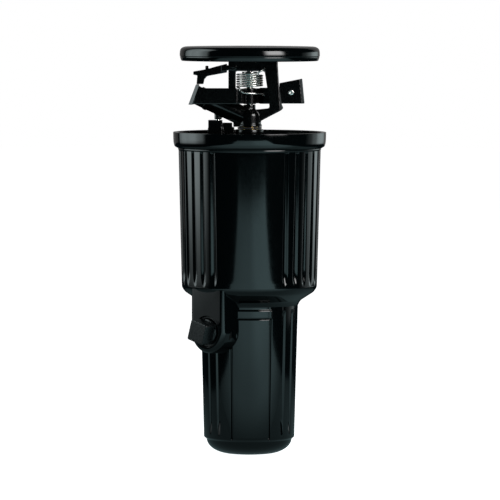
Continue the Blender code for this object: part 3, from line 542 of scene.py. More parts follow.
def build_can():
    rim = [
        (52.0, 229.5, 0.4),
        (54.5, 229.5, 0.35),
        (54.45, 225.0, 1.5),
        (54.2, 221.6, 1.5),
        (53.5, 219.3, 1.6),
        (51.7, 218.3, 0.8),
        (50.9, 218.0, 0.5),
        (51.1, 217.4, 0.4),
        (50.8, 216.8, 0.2),
    ]
    wall = between((50.65, 216.6), (50.6, 214.0), 10) + between((50.6, 214.0), (48.35, 124.0), 30)
    foot = between((48.35, 124.0), (48.2, 120.0), 14)
    shoulder = [
        (48.2, 120.0, 1.2),
        (47.8, 118.3, 1.0),
        (45.9, 115.6, 1.4),
        (41.6, 112.8, 1.4),
        (36.8, 109.7, 1.2),
        (35.4, 107.6, 0.8),
        (34.9, 106.3, 0.2),
    ]
    inside = [
        (31.7, 106.3),
        (31.7, 111.5),
        (35.3, 111.5),
        (35.3, 114.7),
        (36.6, 114.7),
        (36.6, 116.9),
        (35.3, 116.9),
        (35.3, 117.7),
        (44.1, 120.0, 2.0),
        (45.7, 123.0, 2.0),
        (48.1, 219.1),
        (51.4, 219.1, 0.6),
        (51.4, 229.2, 0.3),
    ]
    columns = can_columns()
    rows = []
    for radius, height in rounded(rim, 0.3, closed=False, steps=6) + wall + foot:
        rows.append(can_row(radius, height, columns))
    plain = rounded(shoulder, 0.3, closed=False, steps=5) + rounded(inside, 0.3, closed=False, steps=3)
    angles = [centre + (across or 0.0) * CAN_FLUTE_NARROW for centre, across in columns]
    for radius, height in plain:
        rows.append([on_case(radius, angle, height) for angle in angles])
    can = smooth_shaded(skin("case_can", rows, closed=True), 60)
    return place(can, "case", "case_plastic", "case_shell")


PANEL_MIDDLE = 2.0
PANEL_HALF = 22.5
PANEL_FOOT = 12.5
PANEL_TOP = 98.0
BAND_HALF = 25.0
BAND_TOP = 104.6
BODY_FLUTES = (-57.5, -41.5, 45.5, 61.5, 90.0, 115.0, 140.0, -90.0, -115.0, -140.0)
PANEL_RELIEF = 0.75
TRENCH_DEPTH = 1.3
BAND_RELIEF = 1.25
LEAF_RELIEF = 0.3
BODY_FLUTE_HALF = 2.5
BODY_FLUTE_DEPTH = 1.2
BODY_COLUMNS = 720


def angle_between(first, second):
    """The angle from second to first, in degrees from -180 to 180."""
    return (first - second + 180) % 360 - 180


def body_relief(angle, height):
    """How far the lower body's surface stands out of its cone, at an angle from the front."""
    relief = 0.0
    for middle in (PANEL_MIDDLE, PANEL_MIDDLE + 180):
        aside = abs(angle_between(angle, middle))
        panel = 1 - smoothstep(PANEL_HALF - 0.6, PANEL_HALF + 0.6, aside)
        along = smoothstep(PANEL_FOOT - 1.0, PANEL_FOOT + 0.6, height)
        along *= 1 - smoothstep(PANEL_TOP - 0.4, PANEL_TOP, height)
        relief += PANEL_RELIEF * panel * along
        trench = smoothstep(PANEL_HALF - 0.2, PANEL_HALF + 0.9, aside)
        trench *= 1 - smoothstep(PANEL_HALF + 1.6, PANEL_HALF + 3.2, aside)
        relief -= TRENCH_DEPTH * trench * along
        band = 1 - smoothstep(BAND_HALF - 0.6, BAND_HALF + 0.6, aside)
        along = smoothstep(PANEL_TOP, PANEL_TOP + 0.5, height)
        along *= 1 - smoothstep(BAND_TOP - 0.6, BAND_TOP, height)
        relief += BAND_RELIEF * band * along
        leaf_edge = 41.0 - 15.0 * smoothstep(0.0, 1.0, (46.0 - height) / 34.0)
        leaf = 1 - smoothstep(leaf_edge - 1.6, leaf_edge + 1.6, aside)
        relief += LEAF_RELIEF * leaf * (1 - panel) * smoothstep(12.0, 14.0, height)
    fluted = smoothstep(12.6, 26.0, height) * (1 - smoothstep(101.0, 103.5, height))
    for middle in BODY_FLUTES:
        aside = abs(angle_between(angle, middle))
        inside_flute = 1 - smoothstep(BODY_FLUTE_HALF - 0.9, BODY_FLUTE_HALF + 0.4, aside)
        relief -= BODY_FLUTE_DEPTH * fluted * inside_flute
    return relief


def build_lower_body():
    cone_top = (34.7, 106.4)
    cone_foot = (32.3, 12.1)
    heights = [106.4, 105.6, 104.9, 104.6, 104.4, 104.2, 104.0, 103.5, 103.0, 102.4, 101.8, 101.0]
    heights += [99.5, 98.6, 98.4, 98.2, 98.05, 97.9, 97.75, 97.6, 97.2]
    heights += [96.0 - 2.0 * step for step in range(40)]
    heights += [15.4, 14.8, 14.2, 13.7, 13.3, 12.9, 12.6, 12.3, 12.1]
    rows = []
    angles = [360 * step / BODY_COLUMNS for step in range(BODY_COLUMNS)]
    for height in heights:
        share = (height - cone_foot[1]) / (cone_top[1] - cone_foot[1])
        radius = cone_foot[0] + (cone_top[0] - cone_foot[0]) * share
        row = [on_case(radius + body_relief(angle, height), angle, height) for angle in angles]
        rows.append(row)
    dome = [(32.3, 12.1, 0.1), (31.6, 11.3, 0.5), (30.5, 10.5, 0.5)]
    for step in range(1, 13):
        angle = math.pi / 2 * step / 12
        dome.append((13.5 + 16.9 * math.cos(angle), 10.7 * (1 - math.sin(angle)), 0.1))
    for radius, height in rounded(dome, 0.3, closed=False, steps=3)[1:]:
        rows.append([on_case(radius, angle, height) for angle in angles])
    rows.append([on_case(11.0, angle, 0.0) for angle in angles])
    rows += inlet_thread(angles)
    inside = [
        (10.4, 17.0, 0.4),
        (15.0, 17.0),
        (15.0, 3.6),
        (20.0, 5.0),
        (27.0, 10.7, 2.0),
        (28.9, 18.5, 2.0),
        (31.6, 104.0),
        (31.6, 106.4),
    ]
    for radius, height in rounded(inside, 0.3, closed=False, steps=3):
        rows.append([on_case(radius, angle, height) for angle in angles])
    body = smooth_shaded(skin("case_lower_body", rows, closed=True), 60)
    return place(body, "case", "case_plastic", "case_shell")


def inlet_thread(angles):
    """The female pipe thread in the bottom inlet."""
    pitch = 1.8
    crest_depth = 0.55
    thread_radius = 10.5
    rows = []
    for step in range(50):
        height = 0.6 + 0.32 * step
        ramp_in = smoothstep(0.6, 2.0, height) * (1 - smoothstep(15.0, 16.4, height))
        row = []
        for angle in angles:
            phase = (height / pitch + angle / 360) % 1.0
            tooth = crest_depth * abs(2 * phase - 1) * ramp_in
            row.append(on_case(thread_radius - tooth, angle, height))
        rows.append(row)
    return rows


SIDE_ANGLE = -40.0
SIDE_HEIGHT = 89.5
BOSS_FACE = 47.0
BOSS_RADIUS = 15.6
BOSS_TOP = 29.5
BOSS_BACK = 20.0
BOSS_EDGE = 3.4
BOSS_FLARE = 1.4
PLUG_HALF = 7.4
PLUG_TWIST = math.radians(16.0)


def facing_out(pieces):
    """Turns pieces made round the Y axis, facing -Y, to face along the side inlet."""
    turn = Matrix.Rotation(math.radians(SIDE_ANGLE), 4, "Z")
    lift = Matrix.Translation((0, 0, SIDE_HEIGHT * MM))
    for piece in pieces:
        piece.data.transform(turn @ lift)
    return pieces


def lying(name, profile, reach=0.3, closed=True):
    """A profile of (radius, distance out) turned round the Y axis, which points to -Y."""
    piece = turned(name, profile, reach, closed)
    piece.data.transform(Matrix.Rotation(math.radians(90), 4, "X"))
    return piece


def boss_row(inset, distance):
    """The boss's outline at a distance out: straight sides, a half-round foot and a flat top."""
    radius = BOSS_RADIUS - inset
    points = [(-radius, BOSS_TOP)]
    for step in range(49):
        angle = -math.pi + math.pi * step / 48
        points.append((radius * math.cos(angle), radius * math.sin(angle)))
    points.append((radius, BOSS_TOP))
    return [(across * MM, up * MM, distance * MM) for across, up in points]


def build_side_inlet():
    rows = [[(0.0, 0.0, BOSS_FACE * MM)]]
    for step in range(9):
        angle = math.pi / 2 * step / 8
        inset = BOSS_EDGE * (1 - math.sin(angle))
        rows.append(boss_row(inset, BOSS_FACE - BOSS_EDGE * (1 - math.cos(angle))))
    rows += [boss_row(-BOSS_FLARE, BOSS_BACK), [(0.0, 0.0, BOSS_BACK * MM)]]
    boss = skin("case_inlet_boss", rows, closed=False)
    boss.data.transform(Matrix.Rotation(math.radians(90), 4, "X"))
    mouth = lying("mouth", [(0.0, 52.0), (11.3, 52.0), (11.3, 43.4), (0.0, 43.4)], 0.0, False)
    dimple = rod("dimple", 4.6, (14.6, -36.0, -3.5), (24.0, -36.0, -3.5), 0.0)
    facing_out([boss, mouth, dimple])
    boss = bored(boss, [mouth, dimple])
    place(boss, "case", "case_plastic", "case_shell")

    thread = lying("plug_thread", [(0.0, 43.2), (10.2, 43.2), (10.2, 33.0), (0.0, 33.0)], 0.8, False)
    neck = lying("plug_neck", [(0.0, 47.5), (8.8, 47.5), (8.8, 40.0), (0.0, 40.0)], 0.6, False)
    half = PLUG_HALF
    outline = rounded([(-half, -half), (half, -half), (half, half), (-half, half)], 1.2)
    square = plate("plug_square", [outline], -57.6, -46.0, bevel=1.0)
    square.data.transform(Matrix.Rotation(PLUG_TWIST, 4, "Y"))
    plug = fused("side_inlet_plug_look", facing_out([thread, neck, square]), 0.35, 4)
    place(plug, "case", "plug_plastic", "side_inlet_plug")

    seal = lying("side_plug_seal_look", [(9.2, 45.6), (11.0, 45.6), (11.0, 43.7), (9.2, 43.7)], 0.6)
    facing_out([seal])
    place(seal, "case", "rubber", "side_plug_seal")


def build_inside():
    """The guide and its fastening, which hold the riser true."""
    profile = [
        (GUIDE_BORE, 124.0),
        (18.5, 124.0, 1.2),
        (18.5, 114.5, 1.0),
        (35.0, 114.5),
        (35.0, 111.8),
        (16.5, 111.8),
        (16.5, 121.7, 1.0),
        (GUIDE_BORE, 121.7),
    ]
    place(turned("riser_guide_look", profile), "case", "inner_plastic", "riser_guide")
    retainer = ring("guide_retaining_ring_look", "guide_retaining_ring", 32.3)
    place(retainer, "case", "steel", "guide_retaining_ring")
    wiper_profile = [
        (GUIDE_BORE, 126.4),
        (11.0, 127.2),
        (13.0, 127.2, 0.8),
        (13.0, 124.3),
        (GUIDE_BORE, 124.3),
    ]
    place(turned("wiper_seal_look", wiper_profile), "case", "rubber", "wiper_seal")
    spring = wire("retract_spring_look", helix(14.0, 89.6, 120.4, 8, per_turn=32), 1.0)
    spring.data.materials.append(FINISHES["steel"])
    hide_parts("retract_spring")
    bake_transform(spring)


# Riser


def build_riser():
    place(ring("riser_tube_look", "riser_tube", RISER_BORE), "riser", "inner_plastic", "riser_tube")
    base_profile = [
        (9.8, 95.3),
        (12.0, 95.3),
        (12.0, 87.0),
        (20.0, 87.0, 0.6),
        (20.0, 84.0, 0.6),
        (RISER_BORE, 84.0),
        (RISER_BORE, 87.0),
        (9.8, 87.0),
    ]
    place(turned("riser_base_look", base_profile), "riser", "inner_plastic", "riser_base")
    place(ring("spring_washer_look", "spring_washer", 12.3), "riser", "steel", "spring_washer")
    sieve = bpy.data.objects["filter_screen"]
    sieve.data.materials.clear()
    sieve.data.materials.append(FINISHES["grey_plastic"])

    sleeve_profile = [
        (SLEEVE_BORE, 231.4),
        (9.9, 231.4, 0.7),
        (9.9, 227.8, 0.7),
        (9.4, 227.6, 0.2),
        (9.4, 222.0),
        (9.4, 214.3, 0.4),
        (7.3, 214.3),
        (7.3, 205.0, 0.6),
        (SLEEVE_BORE, 205.0),
    ]
    place(turned("bearing_sleeve_look", sleeve_profile), "riser", "head_plastic", "bearing_sleeve")


def build_collars():
    """Two friction rings, each with a tab that sets one end of the watered arc."""
    steps = 240
    rib_depth = 0.28
    for name, body, tab_angle in (
        ("lower_trip_collar", "lower_collar", 50.0),
        ("upper_trip_collar", "upper_collar", -35.0),
    ):
        low, high = box_mm(name)
        rows = []
        outline = [(12.6, high.z), (13.0, high.z - 0.5), (13.0, low.z + 0.5), (12.6, low.z)]
        for radius, height in outline:
            row = []
            for step in range(steps):
                rib = rib_depth * (step % 6 in (0, 1))
                row.append(on_case(radius - rib, 360 * step / steps, height))
            rows.append(row)
        for radius, height in ((10.0, low.z), (9.7, low.z + 0.3), (9.7, high.z - 0.3), (10.0, high.z)):
            rows.append([on_case(radius, 360 * step / steps, height) for step in range(steps)])
        collar = smooth_shaded(skin(name + "_look", rows, closed=True), 30)
        place(collar, body, "head_plastic", name)
        tab_outline = rounded([(12.0, -2.0), (16.4, -2.0, 1.0), (16.4, 2.0, 1.0), (12.0, 2.0)], 0.2)
        tab = plate(name + "_tab", [tab_outline], low.z + 0.4, high.z - 0.4, upright=False, bevel=0.35)
        tab.data.transform(Matrix.Rotation(math.radians(tab_angle), 4, "Z"))
        place(smooth_shaded(tab), body, "head_plastic", name)


# Head


BARREL_LIFT = math.radians(25.0)
BARREL_HEIGHT = 238.4
BARREL_LENGTH = 40.3
BARREL_RADIUS = 7.0
HEAD_HALF_DEPTH = 4.9
BRACKET_HALF_DEPTH = 5.2


def barrel_point(distance):
    """A point on the barrel's axis in millimetres, at a distance from the head's turning axis."""
    return (-distance * math.cos(BARREL_LIFT), 0.0, BARREL_HEIGHT + distance * math.sin(BARREL_LIFT))


def build_drive_body():
    edge = [
        (-15.2, 286.8),
        (-15.2, 244.0),
        (-6.0, 236.5, 3.0),
        (6.3, 236.5, 2.0),
        (22.6, 245.0, 0.5),
        (24.0, 246.5, 0.5),
        (22.8, 249.2, 0.8),
        (20.8, 263.6),
        (20.0, 277.9),
        (20.0, 286.8),
    ]
    window = [
        (-9.9, 272.8),
        (10.6, 272.7),
        (12.1, 263.0),
        (14.1, 247.4),
        (13.6, 246.3),
        (5.0, 245.4),
        (-9.9, 245.4),
    ]
    loop = plate("loop", [rounded(edge, 0.8), rounded(window, 1.2)], -HEAD_HALF_DEPTH, HEAD_HALF_DEPTH)
    leg_line = (-2.4, 0.0, 37.9)
    shave(loop, (21.4, -HEAD_HALF_DEPTH, 249.0), chamfer_normal(55, leg_line))
    hub_profile = [
        (0.0, 245.7),
        (4.5, 245.4, 1.5),
        (7.0, 244.3, 1.0),
        (8.2, 242.1, 1.0),
        (8.2, 234.8, 0.3),
        (8.7, 234.6, 0.3),
        (8.7, 233.2),
        (0.0, 233.2),
    ]
    hub = turned("hub", hub_profile, closed=False)
    barrel = rod("barrel", BARREL_RADIUS, barrel_point(0), barrel_point(40.2), 0.8)
    collar_ends = (barrel_point(BARREL_LENGTH - 9.0), barrel_point(BARREL_LENGTH - 6.5))
    collar = rod("barrel_collar", BARREL_RADIUS + 0.6, *collar_ends)
    pin_boss = rod("pin_boss", 4.2, (0, 0, 243.0), (0, 0, 248.9))
    lug = rod("trip_lug", 2.6, (TRIP_X, 0, 238.4), (TRIP_X, 0, 246.0))
    bracket_outline = [
        (-11.6, 233.2),
        (0.0, 233.2),
        (0.0, 246.4),
        (-13.4, 246.4),
        (-13.4, 236.9),
        (-11.6, 236.9),
    ]
    bracket = plate("bracket", [bracket_outline], -BRACKET_HALF_DEPTH, BRACKET_HALF_DEPTH)
    body = fused("drive_body_look", [loop, hub, barrel, collar, pin_boss, lug, bracket], 0.33, 4)
    cutters = [
        rod("hub_bore", SLEEVE_BORE, (0, 0, 228.0), (0, 0, 240.3), 0.0),
        rod("water_way", 5.2, barrel_point(4.0), barrel_point(BARREL_LENGTH + 5.0), 0.0),
        rod("lug_hole", TRIP_BORE, (TRIP_X, 0, 233.0), (TRIP_X, 0, 243.2), 0.0),
    ]
    place(bored(body, cutters), "head", "head_plastic", "drive_body")


def build_bearing():
    nipple_profile = [
        (4.4, 240.0),
        (6.0, 240.0),
        (6.0, 198.5),
        (7.2, 198.5),
        (7.2, 196.5),
        (4.4, 196.5),
    ]
    place(turned("bearing_nipple_look", nipple_profile), "head", "brass", "bearing_nipple")
    for node in ("upper_bearing_washer", "lower_bearing_washer"):
        place(ring(node + "_look", node, SLEEVE_BORE), "head", "rubber", node)
    spring = wire("bearing_spring_look", helix(6.75, 199.2, 202.6, 2.5), 0.35, 8)
    place(spring, "head", "steel", "bearing_spring")


def build_nozzle():
    profile = [
        (2.4, 0.0),
        (4.9, 0.0, 0.5),
        (4.9, -14.0),
        (3.9, -14.0),
        (3.0, -6.0, 2.0),
        (2.4, -3.0, 1.0),
    ]
    nozzle = turned("nozzle_look", profile)
    tilt = Matrix.Rotation(BARREL_LIFT - math.pi / 2, 4, "Y")
    end = Matrix.Translation(Vector(barrel_point(BARREL_LENGTH - 0.6)) * MM)
    nozzle.data.transform(end @ tilt)
    place(nozzle, "head", "grey_plastic", "nozzle")


def build_cap():
    profile = [
        (0.0, 290.45),
        (6.0, 290.45, 0.4),
        (6.4, 290.2, 0.3),
        (7.0, 290.2, 0.3),
        (7.4, 290.45, 0.4),
        (30.6, 290.45, 0.3),
        (31.2, 290.25, 0.3),
        (46.4, 290.2, 0.8),
        (48.6, 289.3, 1.0),
        (49.6, 287.8, 0.9),
        (49.85, 286.0, 0.6),
        (49.9, 283.6, 0.3),
        (49.5, 283.2, 0.2),
        (49.65, 282.8, 0.3),
        (48.9, 280.5, 0.5),
        (48.4, 280.1, 0.3),
        (47.8, 280.1, 0.2),
        (47.7, 284.6, 0.5),
        (45.7, 286.4, 0.6),
        (32.0, 287.4, 1.0),
        (0.0, 287.4),
    ]
    cap = turned("cap_look", profile, closed=False, steps=192)
    recesses = []
    for name, x in (("cap_screw_left", -7.5), ("cap_screw_right", 15.0)):
        recesses.append(rod(name + "_recess", 3.6, (x, 0, 288.6), (x, 0, 295.0), 0.0))
        place(screw(name + "_look", x), "head", "steel", name)
    cap = bored(cap, recesses)
    place(cap, "head", "cap_plastic", "cap")
    rib_outline = [(33.0, 287.8), (33.0, 285.9), (45.0, 284.2), (47.9, 284.6), (47.9, 287.8)]
    rib_half = 0.7
    for index in range(12):
        angle = 15 + 30 * index
        rib = plate("cap_rib_%d" % index, [rounded(rib_outline, 0.3)], -rib_half, rib_half)
        rib.data.transform(Matrix.Rotation(math.radians(angle), 4, "Z"))
        place(smooth_shaded(rib), "head", "cap_plastic")


def screw(name, x):
    """A pan-head screw with a crossed slot, upright, in the cap."""
    profile = [
        (0.0, 290.2),
        (1.8, 290.1, 0.6),
        (3.1, 289.6, 0.5),
        (3.3, 288.9, 0.2),
        (1.5, 288.9),
        (1.5, 277.8, 0.5),
        (0.6, 277.0, 0.2),
        (0.0, 277.0),
    ]
    body = turned(name, profile, closed=False, steps=48, axis=(x, 0.0))
    slots = []
    for angle in (0, 90):
        slot = block("slot", (-2.0, -0.35, 289.3), (2.0, 0.35, 292.0))
        turn = Matrix.Rotation(math.radians(angle + 20), 4, "Z")
        slot.data.transform(Matrix.Translation((x * MM, 0, 0)) @ turn)
        slots.append(slot)
    return bored(body, slots)


def build_pins():
    place(rod("fulcrum_pin_look", 2.2, (0, 0, 246.3), (0, 0, 284.0), 0.5), "head", "steel", "fulcrum_pin")
    place(ring("spring_retainer_look", "spring_retainer", 2.5), "head", "steel", "spring_retainer")
    pin_profile = [
        (0.0, 242.9),
        (1.5, 242.9, 0.4),
        (1.5, 219.2),
        (3.6, 219.2, 0.4),
        (3.6, 217.8, 0.5),
        (0.0, 217.8),
    ]
    trip_pin = turned("trip_pivot_pin_look", pin_profile, closed=False, steps=48, axis=(TRIP_X, 0.0))
    place(trip_pin, "head", "steel", "trip_pivot_pin")
    hinge_ends = ((HINGE_X, -8.0, HINGE_HEIGHT), (HINGE_X, 8.0, HINGE_HEIGHT))
    hinge = rod("deflector_pin_look", 1.3, *hinge_ends, 0.4)
    place(hinge, "head", "head_plastic", "deflector_pin")


def build_arm_spring():
    """A close coil with a leg hooked to the bridge above and another to the arm below."""
    upper_leg = [
        (10.4, -5.0, 274.8),
        (10.0, -6.0, 274.4),
        (8.4, -7.2, 273.4),
        (6.6, -7.6, 272.2),
    ]
    lower_leg = [
        (-7.6, -9.2, 261.0),
        (-6.6, -10.9, 259.0),
        (-4.0, -11.4, 257.4),
        (0.0, -11.0, 257.1),
        (4.0, -9.4, 256.9),
        (7.4, -7.0, 256.7),
        (9.4, -5.0, 256.4),
        (10.0, -4.2, 255.6),
    ]
    drop = [(-8.9, 0.4, 261.5), (-8.6, -5.0, 261.4)]
    coil = helix(8.9, ARM_SPRING_FOOT, ARM_SPRING_TOP, 5.39, start_angle=170.0)
    path = smooth_path(upper_leg) + coil[::-1] + smooth_path(drop + lower_leg)
    spring = wire("arm_spring_look", path, 0.65)
    spring.data.materials.append(FINISHES["steel"])
    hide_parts("arm_spring")
    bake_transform(spring)


# Impact arm


def build_arm():
    hub = rod("arm_hub", 4.6, (0, 0, ARM_FOOT), (0, 0, ARM_TOP - 0.2), 0.4)
    front_web_outline = [(-2.6, -3.6), (-4.2, 0.0), (-12.0, -7.9), (-12.0, -10.3), (-5.6, -10.3)]
    front_web = plate("front_web", [front_web_outline], WEB_FOOT, WEB_TOP, upright=False)
    panel_outline = [
        (-9.0, ARM_FOOT),
        (-9.0, ARM_TOP),
        (-33.0, ARM_TOP),
        (-36.2, 262.6),
        (-41.0, ARM_FOOT),
    ]
    front_panel = plate("front_panel", [rounded(panel_outline, 0.8)], -10.7, -7.9)
    vane_outline = [(-38.3, 263.2), (-35.9, 263.2), (-40.7, 249.0), (-43.6, 249.0)]
    vane = plate("vane", [vane_outline], -10.9, 6.5)
    vane_line = (-5.3, 0.0, -14.2)
    shave(vane, (-43.6, -7.6, 249.0), chamfer_normal(-50, vane_line))
    back_web_outline = [(-1.0, 3.9), (3.4, 2.4), (10.4, 6.3), (10.4, 8.3), (7.6, 8.3)]
    back_web = plate("back_web", [back_web_outline], WEB_FOOT, WEB_TOP, upright=False)
    back_panel = block("back_panel", (7.2, 5.9, ARM_FOOT), (23.0, 8.7, ARM_TOP))
    tail_outline = [(21.2, 249.5), (39.2, 249.5), (37.5, 267.2), (21.2, 264.0)]
    tail = plate("tail", [rounded(tail_outline, 0.5)], 5.7, 14.9)
    shave(tail, (37.3, 5.7, 249.5), chamfer_normal(55, (-1.7, 0.0, 17.5)))
    solids = [hub, front_web, front_panel, vane, back_web, back_panel, tail]
    arm = fused("impact_arm_look", solids, 0.3, 3)
    cutters = [
        rod("arm_bore", 3.7, (0, 0, 245.0), (0, 0, 265.0), 0.0),
        rod("rivet_hole", 2.0, (RIVET_X, 0, RIVET_HEIGHT), (RIVET_X, 20, RIVET_HEIGHT), 0.0),
    ]
    place(bored(arm, cutters), "arm", "head_plastic", "impact_arm")
    place(ring("arm_bushing_look", "arm_bushing", 2.5), "arm", "brass", "arm_bushing")

    rivet_profile = [
        (0.0, 15.9),
        (1.2, 15.8, 0.4),
        (2.3, 15.2, 0.3),
        (1.7, 15.2),
        (1.7, 5.4),
        (2.3, 5.4, 0.3),
        (1.9, 4.8, 0.4),
        (1.0, 4.7, 0.2),
        (0.8, 5.1, 0.2),
        (0.0, 5.1),
    ]
    rivet = turned("tail_rivet_look", rivet_profile, closed=False, steps=48)
    lay_down = Matrix.Rotation(math.radians(-90), 4, "X")
    rivet.data.transform(Matrix.Translation((RIVET_X * MM, 0, RIVET_HEIGHT * MM)) @ lay_down)
    place(rivet, "arm", "steel", "tail_rivet")


# Trip lever


def build_trip_lever():
    outline = [(-29.8, -4.6), (-19.9, -4.6), (-17.3, -2.4), (-17.3, 2.4), (-19.9, 4.6), (-29.8, 4.6)]
    upper = [(-29.5, -4.2), (-20.1, -4.2), (-17.6, -2.2), (-17.6, 2.2), (-20.1, 4.2), (-29.5, 4.2)]
    foot = plate("trip_foot", [rounded(outline, 0.4)], 224.0, 232.2, upright=False)
    tower = plate("trip_tower", [rounded(upper, 0.4)], 231.0, 237.9, upright=False)
    shelf = block("trip_shelf", (-18.6, -3.4, 228.0), (-12.4, 3.4, 236.2))
    ledge = block("trip_ledge", (-18.6, -3.4, 228.0), (-10.9, 3.4, 232.8))
    lever = fused("trip_lever_look", [foot, tower, shelf, ledge], 0.25, 2)
    cutters = [
        block("trip_notch", (-19.4, -9.0, 236.0), (-9.0, 9.0, 245.0)),
        rod("trip_bore", TRIP_BORE, (TRIP_X, 0, 219.0), (TRIP_X, 0, 243.0), 0.0),
    ]
    place(bored(lever, cutters), "trip", "head_plastic", "trip_lever")
    coil = helix(2.7, 219.9, 223.2, 3.5, axis=(TRIP_X, 0.0))
    place(wire("trip_spring_look", coil, 0.35, 8), "trip", "steel", "trip_spring")


# Deflector


def build_deflector():
    bar_outline = [
        (-16.2, 278.0),
        (-24.8, 275.8),
        (-29.4, 274.4),
        (-29.4, 276.5),
        (-31.6, 276.5),
        (-31.6, 273.9),
        (-40.2, 272.4),
        (-40.2, 270.2),
        (-37.3, 269.7),
        (-37.9, 263.5),
        (-32.9, 263.5),
        (-32.2, 267.0),
        (-30.2, 269.2),
        (-16.2, 271.8),
    ]
    bar = plate("bar", [rounded(bar_outline, 0.4)], -4.0, 4.0)
    yoke = block("yoke", (-20.0, -7.4, 272.6), (-16.3, 7.4, 276.9))
    solids = [bar, yoke]
    for side in (-1, 1):
        near = min(side * 5.4, side * 7.4)
        far = near + 2.0
        solids.append(block("ear_plate", (-18.0, near, 273.4), (HINGE_X, far, 276.8)))
        solids.append(rod("ear_disc", 2.9, (HINGE_X, near, HINGE_HEIGHT), (HINGE_X, far, HINGE_HEIGHT)))
    deflector = fused("distance_deflector_look", solids, 0.28, 3)
    hole_ends = ((HINGE_X, -10.0, HINGE_HEIGHT), (HINGE_X, 10.0, HINGE_HEIGHT))
    hole = rod("ear_hole", 1.6, *hole_ends, 0.0)
    place(bored(deflector, [hole]), "deflector", "head_plastic", "distance_deflector")


# Studio: a white floor, pale tinted cards in front and to the sides, a key light to the front right


def ramp_nodes(tree, axis, stops):
    """A brightness that follows the stage piece's own box along one axis."""
    coordinates = tree.nodes.new("ShaderNodeTexCoord")
    split = tree.nodes.new("ShaderNodeSeparateXYZ")
    link(tree, coordinates, "Generated", split, "Vector")
    ramp = tree.nodes.new("ShaderNodeValToRGB")
    ramp.color_ramp.interpolation = "EASE"
    elements = ramp.color_ramp.elements
    elements[0].position, elements[0].color = stops[0][0], (*[stops[0][1]] * 3, 1)
    elements[1].position, elements[1].color = stops[-1][0], (*[stops[-1][1]] * 3, 1)
    for position, value in stops[1:-1]:
        element = elements.new(position)
        element.color = (value, value, value, 1)
    link(tree, split, axis, ramp, "Fac")
    return ramp


def glow(name, corners, level, first, second, tint=(1.0, 1.0, 1.0)):
    """A flat card that shines, unseen by the camera. first and second are an axis and its stops."""
    mesh = bpy.data.meshes.new(name)
    mesh.from_pydata(corners, [], [(0, 1, 2, 3)])
    card = new_object(name, mesh)
    material = bpy.data.materials.new(name)
    material.use_nodes = True
    tree = material.node_tree
    tree.nodes.clear()
    output = tree.nodes.new("ShaderNodeOutputMaterial")
    shine = tree.nodes.new("ShaderNodeEmission")
    shine.inputs["Color"].default_value = (*tint, 1.0)
    across = ramp_nodes(tree, *first)
    along = ramp_nodes(tree, *second)
    both = tree.nodes.new("ShaderNodeMath")
    both.operation = "MULTIPLY"
    link(tree, across, "Color", both, 0)
    link(tree, along, "Color", both, 1)
    strength = tree.nodes.new("ShaderNodeMath")
    strength.operation = "MULTIPLY"
    strength.inputs[1].default_value = level
    link(tree, both, "Value", strength, 0)
    link(tree, strength, "Value", shine, "Strength")
    link(tree, shine, "Emission", output, "Surface")
    mesh.materials.append(material)
    card.visible_camera = False
    card.visible_shadow = False
    return card


def build_floor():
    """The plain white floor that the camera sees, kept out of reflections and bounced light."""
    mesh = bpy.data.meshes.new("floor")
    reach = 6.0
    corners = [(-reach, -reach, 0), (reach, -reach, 0), (reach, reach, 0), (-reach, reach, 0)]
    mesh.from_pydata(corners, [], [(0, 1, 2, 3)])
    floor = new_object("floor", mesh)
    floor.location.z = -0.0002
    material = bpy.data.materials.new("floor_paper")
    material.use_nodes = True
    shader = material.node_tree.nodes["Principled BSDF"]
    shader.inputs["Base Color"].default_value = (0.8, 0.8, 0.8, 1.0)
    shader.inputs["Roughness"].default_value = 0.9
    shader.inputs["Emission Color"].default_value = (1.0, 1.0, 1.0, 1.0)
    shader.inputs["Emission Strength"].default_value = 1.0
    mesh.materials.append(material)
    floor.visible_glossy = False
    floor.visible_diffuse = False


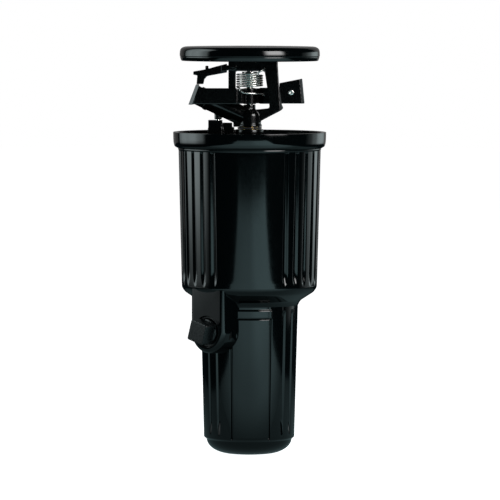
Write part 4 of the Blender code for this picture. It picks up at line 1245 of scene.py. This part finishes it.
def build_studio():
    build_floor()
    table_tint = (0.62, 0.95, 1.0)
    card_tint = (0.84, 0.98, 1.0)
    glow(
        "table_front",
        [(-0.60, -1.9, 0), (0.88, -1.9, 0), (0.42, 0.4, 0), (-0.36, 0.4, 0)],
        1.45,
        ("X", [(0.0, 0.5), (0.38, 0.62), (0.6, 0.9), (1.0, 1.0)]),
        ("Y", [(0.0, 0.4), (0.04, 0.95), (0.5, 1.0), (0.68, 0.7), (0.8, 0.2), (1.0, 0.05)]),
        table_tint,
    )
    glow(
        "left_card",
        [(-0.9, -0.36, 0), (-0.9, 0.75, 0), (-0.9, 0.75, 1.4), (-0.9, -0.36, 1.4)],
        3.0,
        ("Y", [(0.0, 0.0), (0.12, 0.6), (0.35, 1.0), (0.6, 0.7), (1.0, 0.25)]),
        ("Z", [(0.0, 0.1), (0.03, 0.2), (0.11, 1.0), (0.9, 1.0), (1.0, 0.0)]),
        card_tint,
    )
    glow(
        "right_card",
        [(0.9, 0.0, 0), (0.9, 1.6, 0), (0.9, 1.6, 0.42), (0.9, 0.0, 0.42)],
        1.6,
        ("Y", [(0.0, 0.0), (0.1, 0.15), (0.25, 0.5), (0.4, 1.0), (1.0, 0.4)]),
        ("Z", [(0.0, 0.5), (0.3, 1.0), (0.9, 1.0), (1.0, 0.0)]),
        card_tint,
    )
    glow(
        "backdrop",
        [(-1.6, 1.7, 0), (1.6, 1.7, 0), (1.6, 1.7, 1.6), (-1.6, 1.7, 1.6)],
        0.22,
        ("X", [(0.0, 0.6), (0.5, 1.0), (1.0, 1.0)]),
        ("Z", [(0.0, 1.0), (1.0, 1.0)]),
    )
    glow(
        "key_light",
        [(0.52, -1.36, 0.25), (1.26, -0.70, 0.25), (1.26, -0.70, 1.15), (0.52, -1.36, 1.15)],
        9.5,
        ("X", [(0.0, 0.0), (0.3, 1.0), (0.7, 1.0), (1.0, 0.0)]),
        ("Z", [(0.0, 0.1), (0.12, 1.0), (1.0, 1.0)]),
    )


def build_world():
    """White where the camera looks, and a dark room for everything else."""
    world = bpy.data.worlds.new("studio")
    bpy.context.scene.world = world
    world.use_nodes = True
    tree = world.node_tree
    tree.nodes.clear()
    output = tree.nodes.new("ShaderNodeOutputWorld")
    room = tree.nodes.new("ShaderNodeBackground")
    room.inputs["Color"].default_value = (0.35, 0.75, 1.0, 1.0)
    room.inputs["Strength"].default_value = 0.011
    white = tree.nodes.new("ShaderNodeBackground")
    white.inputs["Color"].default_value = (1.0, 1.0, 1.0, 1.0)
    ray = tree.nodes.new("ShaderNodeLightPath")
    choice = tree.nodes.new("ShaderNodeMixShader")
    link(tree, ray, "Is Camera Ray", choice, "Fac")
    tree.links.new(room.outputs["Background"], choice.inputs[1])
    tree.links.new(white.outputs["Background"], choice.inputs[2])
    link(tree, choice, "Shader", output, "Surface")


CAMERA_HEIGHT = 0.337
CAMERA_DISTANCE = 3.29
CAMERA_AIM = 0.1452
CAMERA_LENS = 332.6
CAMERA_ROLL = math.radians(0.1)
CAMERA_SIDE = 0.0004


def build_camera():
    data = bpy.data.cameras.new("camera")
    data.lens = CAMERA_LENS
    data.sensor_width = 36.0
    camera = new_object("camera", data)
    camera.location = (CAMERA_SIDE, -CAMERA_DISTANCE, CAMERA_HEIGHT)
    aim = Vector((CAMERA_SIDE, 0.0, CAMERA_AIM)) - camera.location
    level = aim.to_track_quat("-Z", "Y").to_matrix().to_4x4()
    camera.matrix_world = Matrix.Translation(camera.location) @ level @ Matrix.Rotation(CAMERA_ROLL, 4, "Z")
    bpy.context.scene.camera = camera


def main():
    bpy.context.scene.view_settings.view_transform = "Standard"
    build_camera()
    build_world()
    build_studio()
    build_can()
    build_lower_body()
    build_side_inlet()
    build_inside()
    build_riser()
    build_collars()
    build_drive_body()
    build_bearing()
    build_nozzle()
    build_cap()
    build_pins()
    build_arm_spring()
    build_arm()
    build_trip_lever()
    build_deflector()


main()
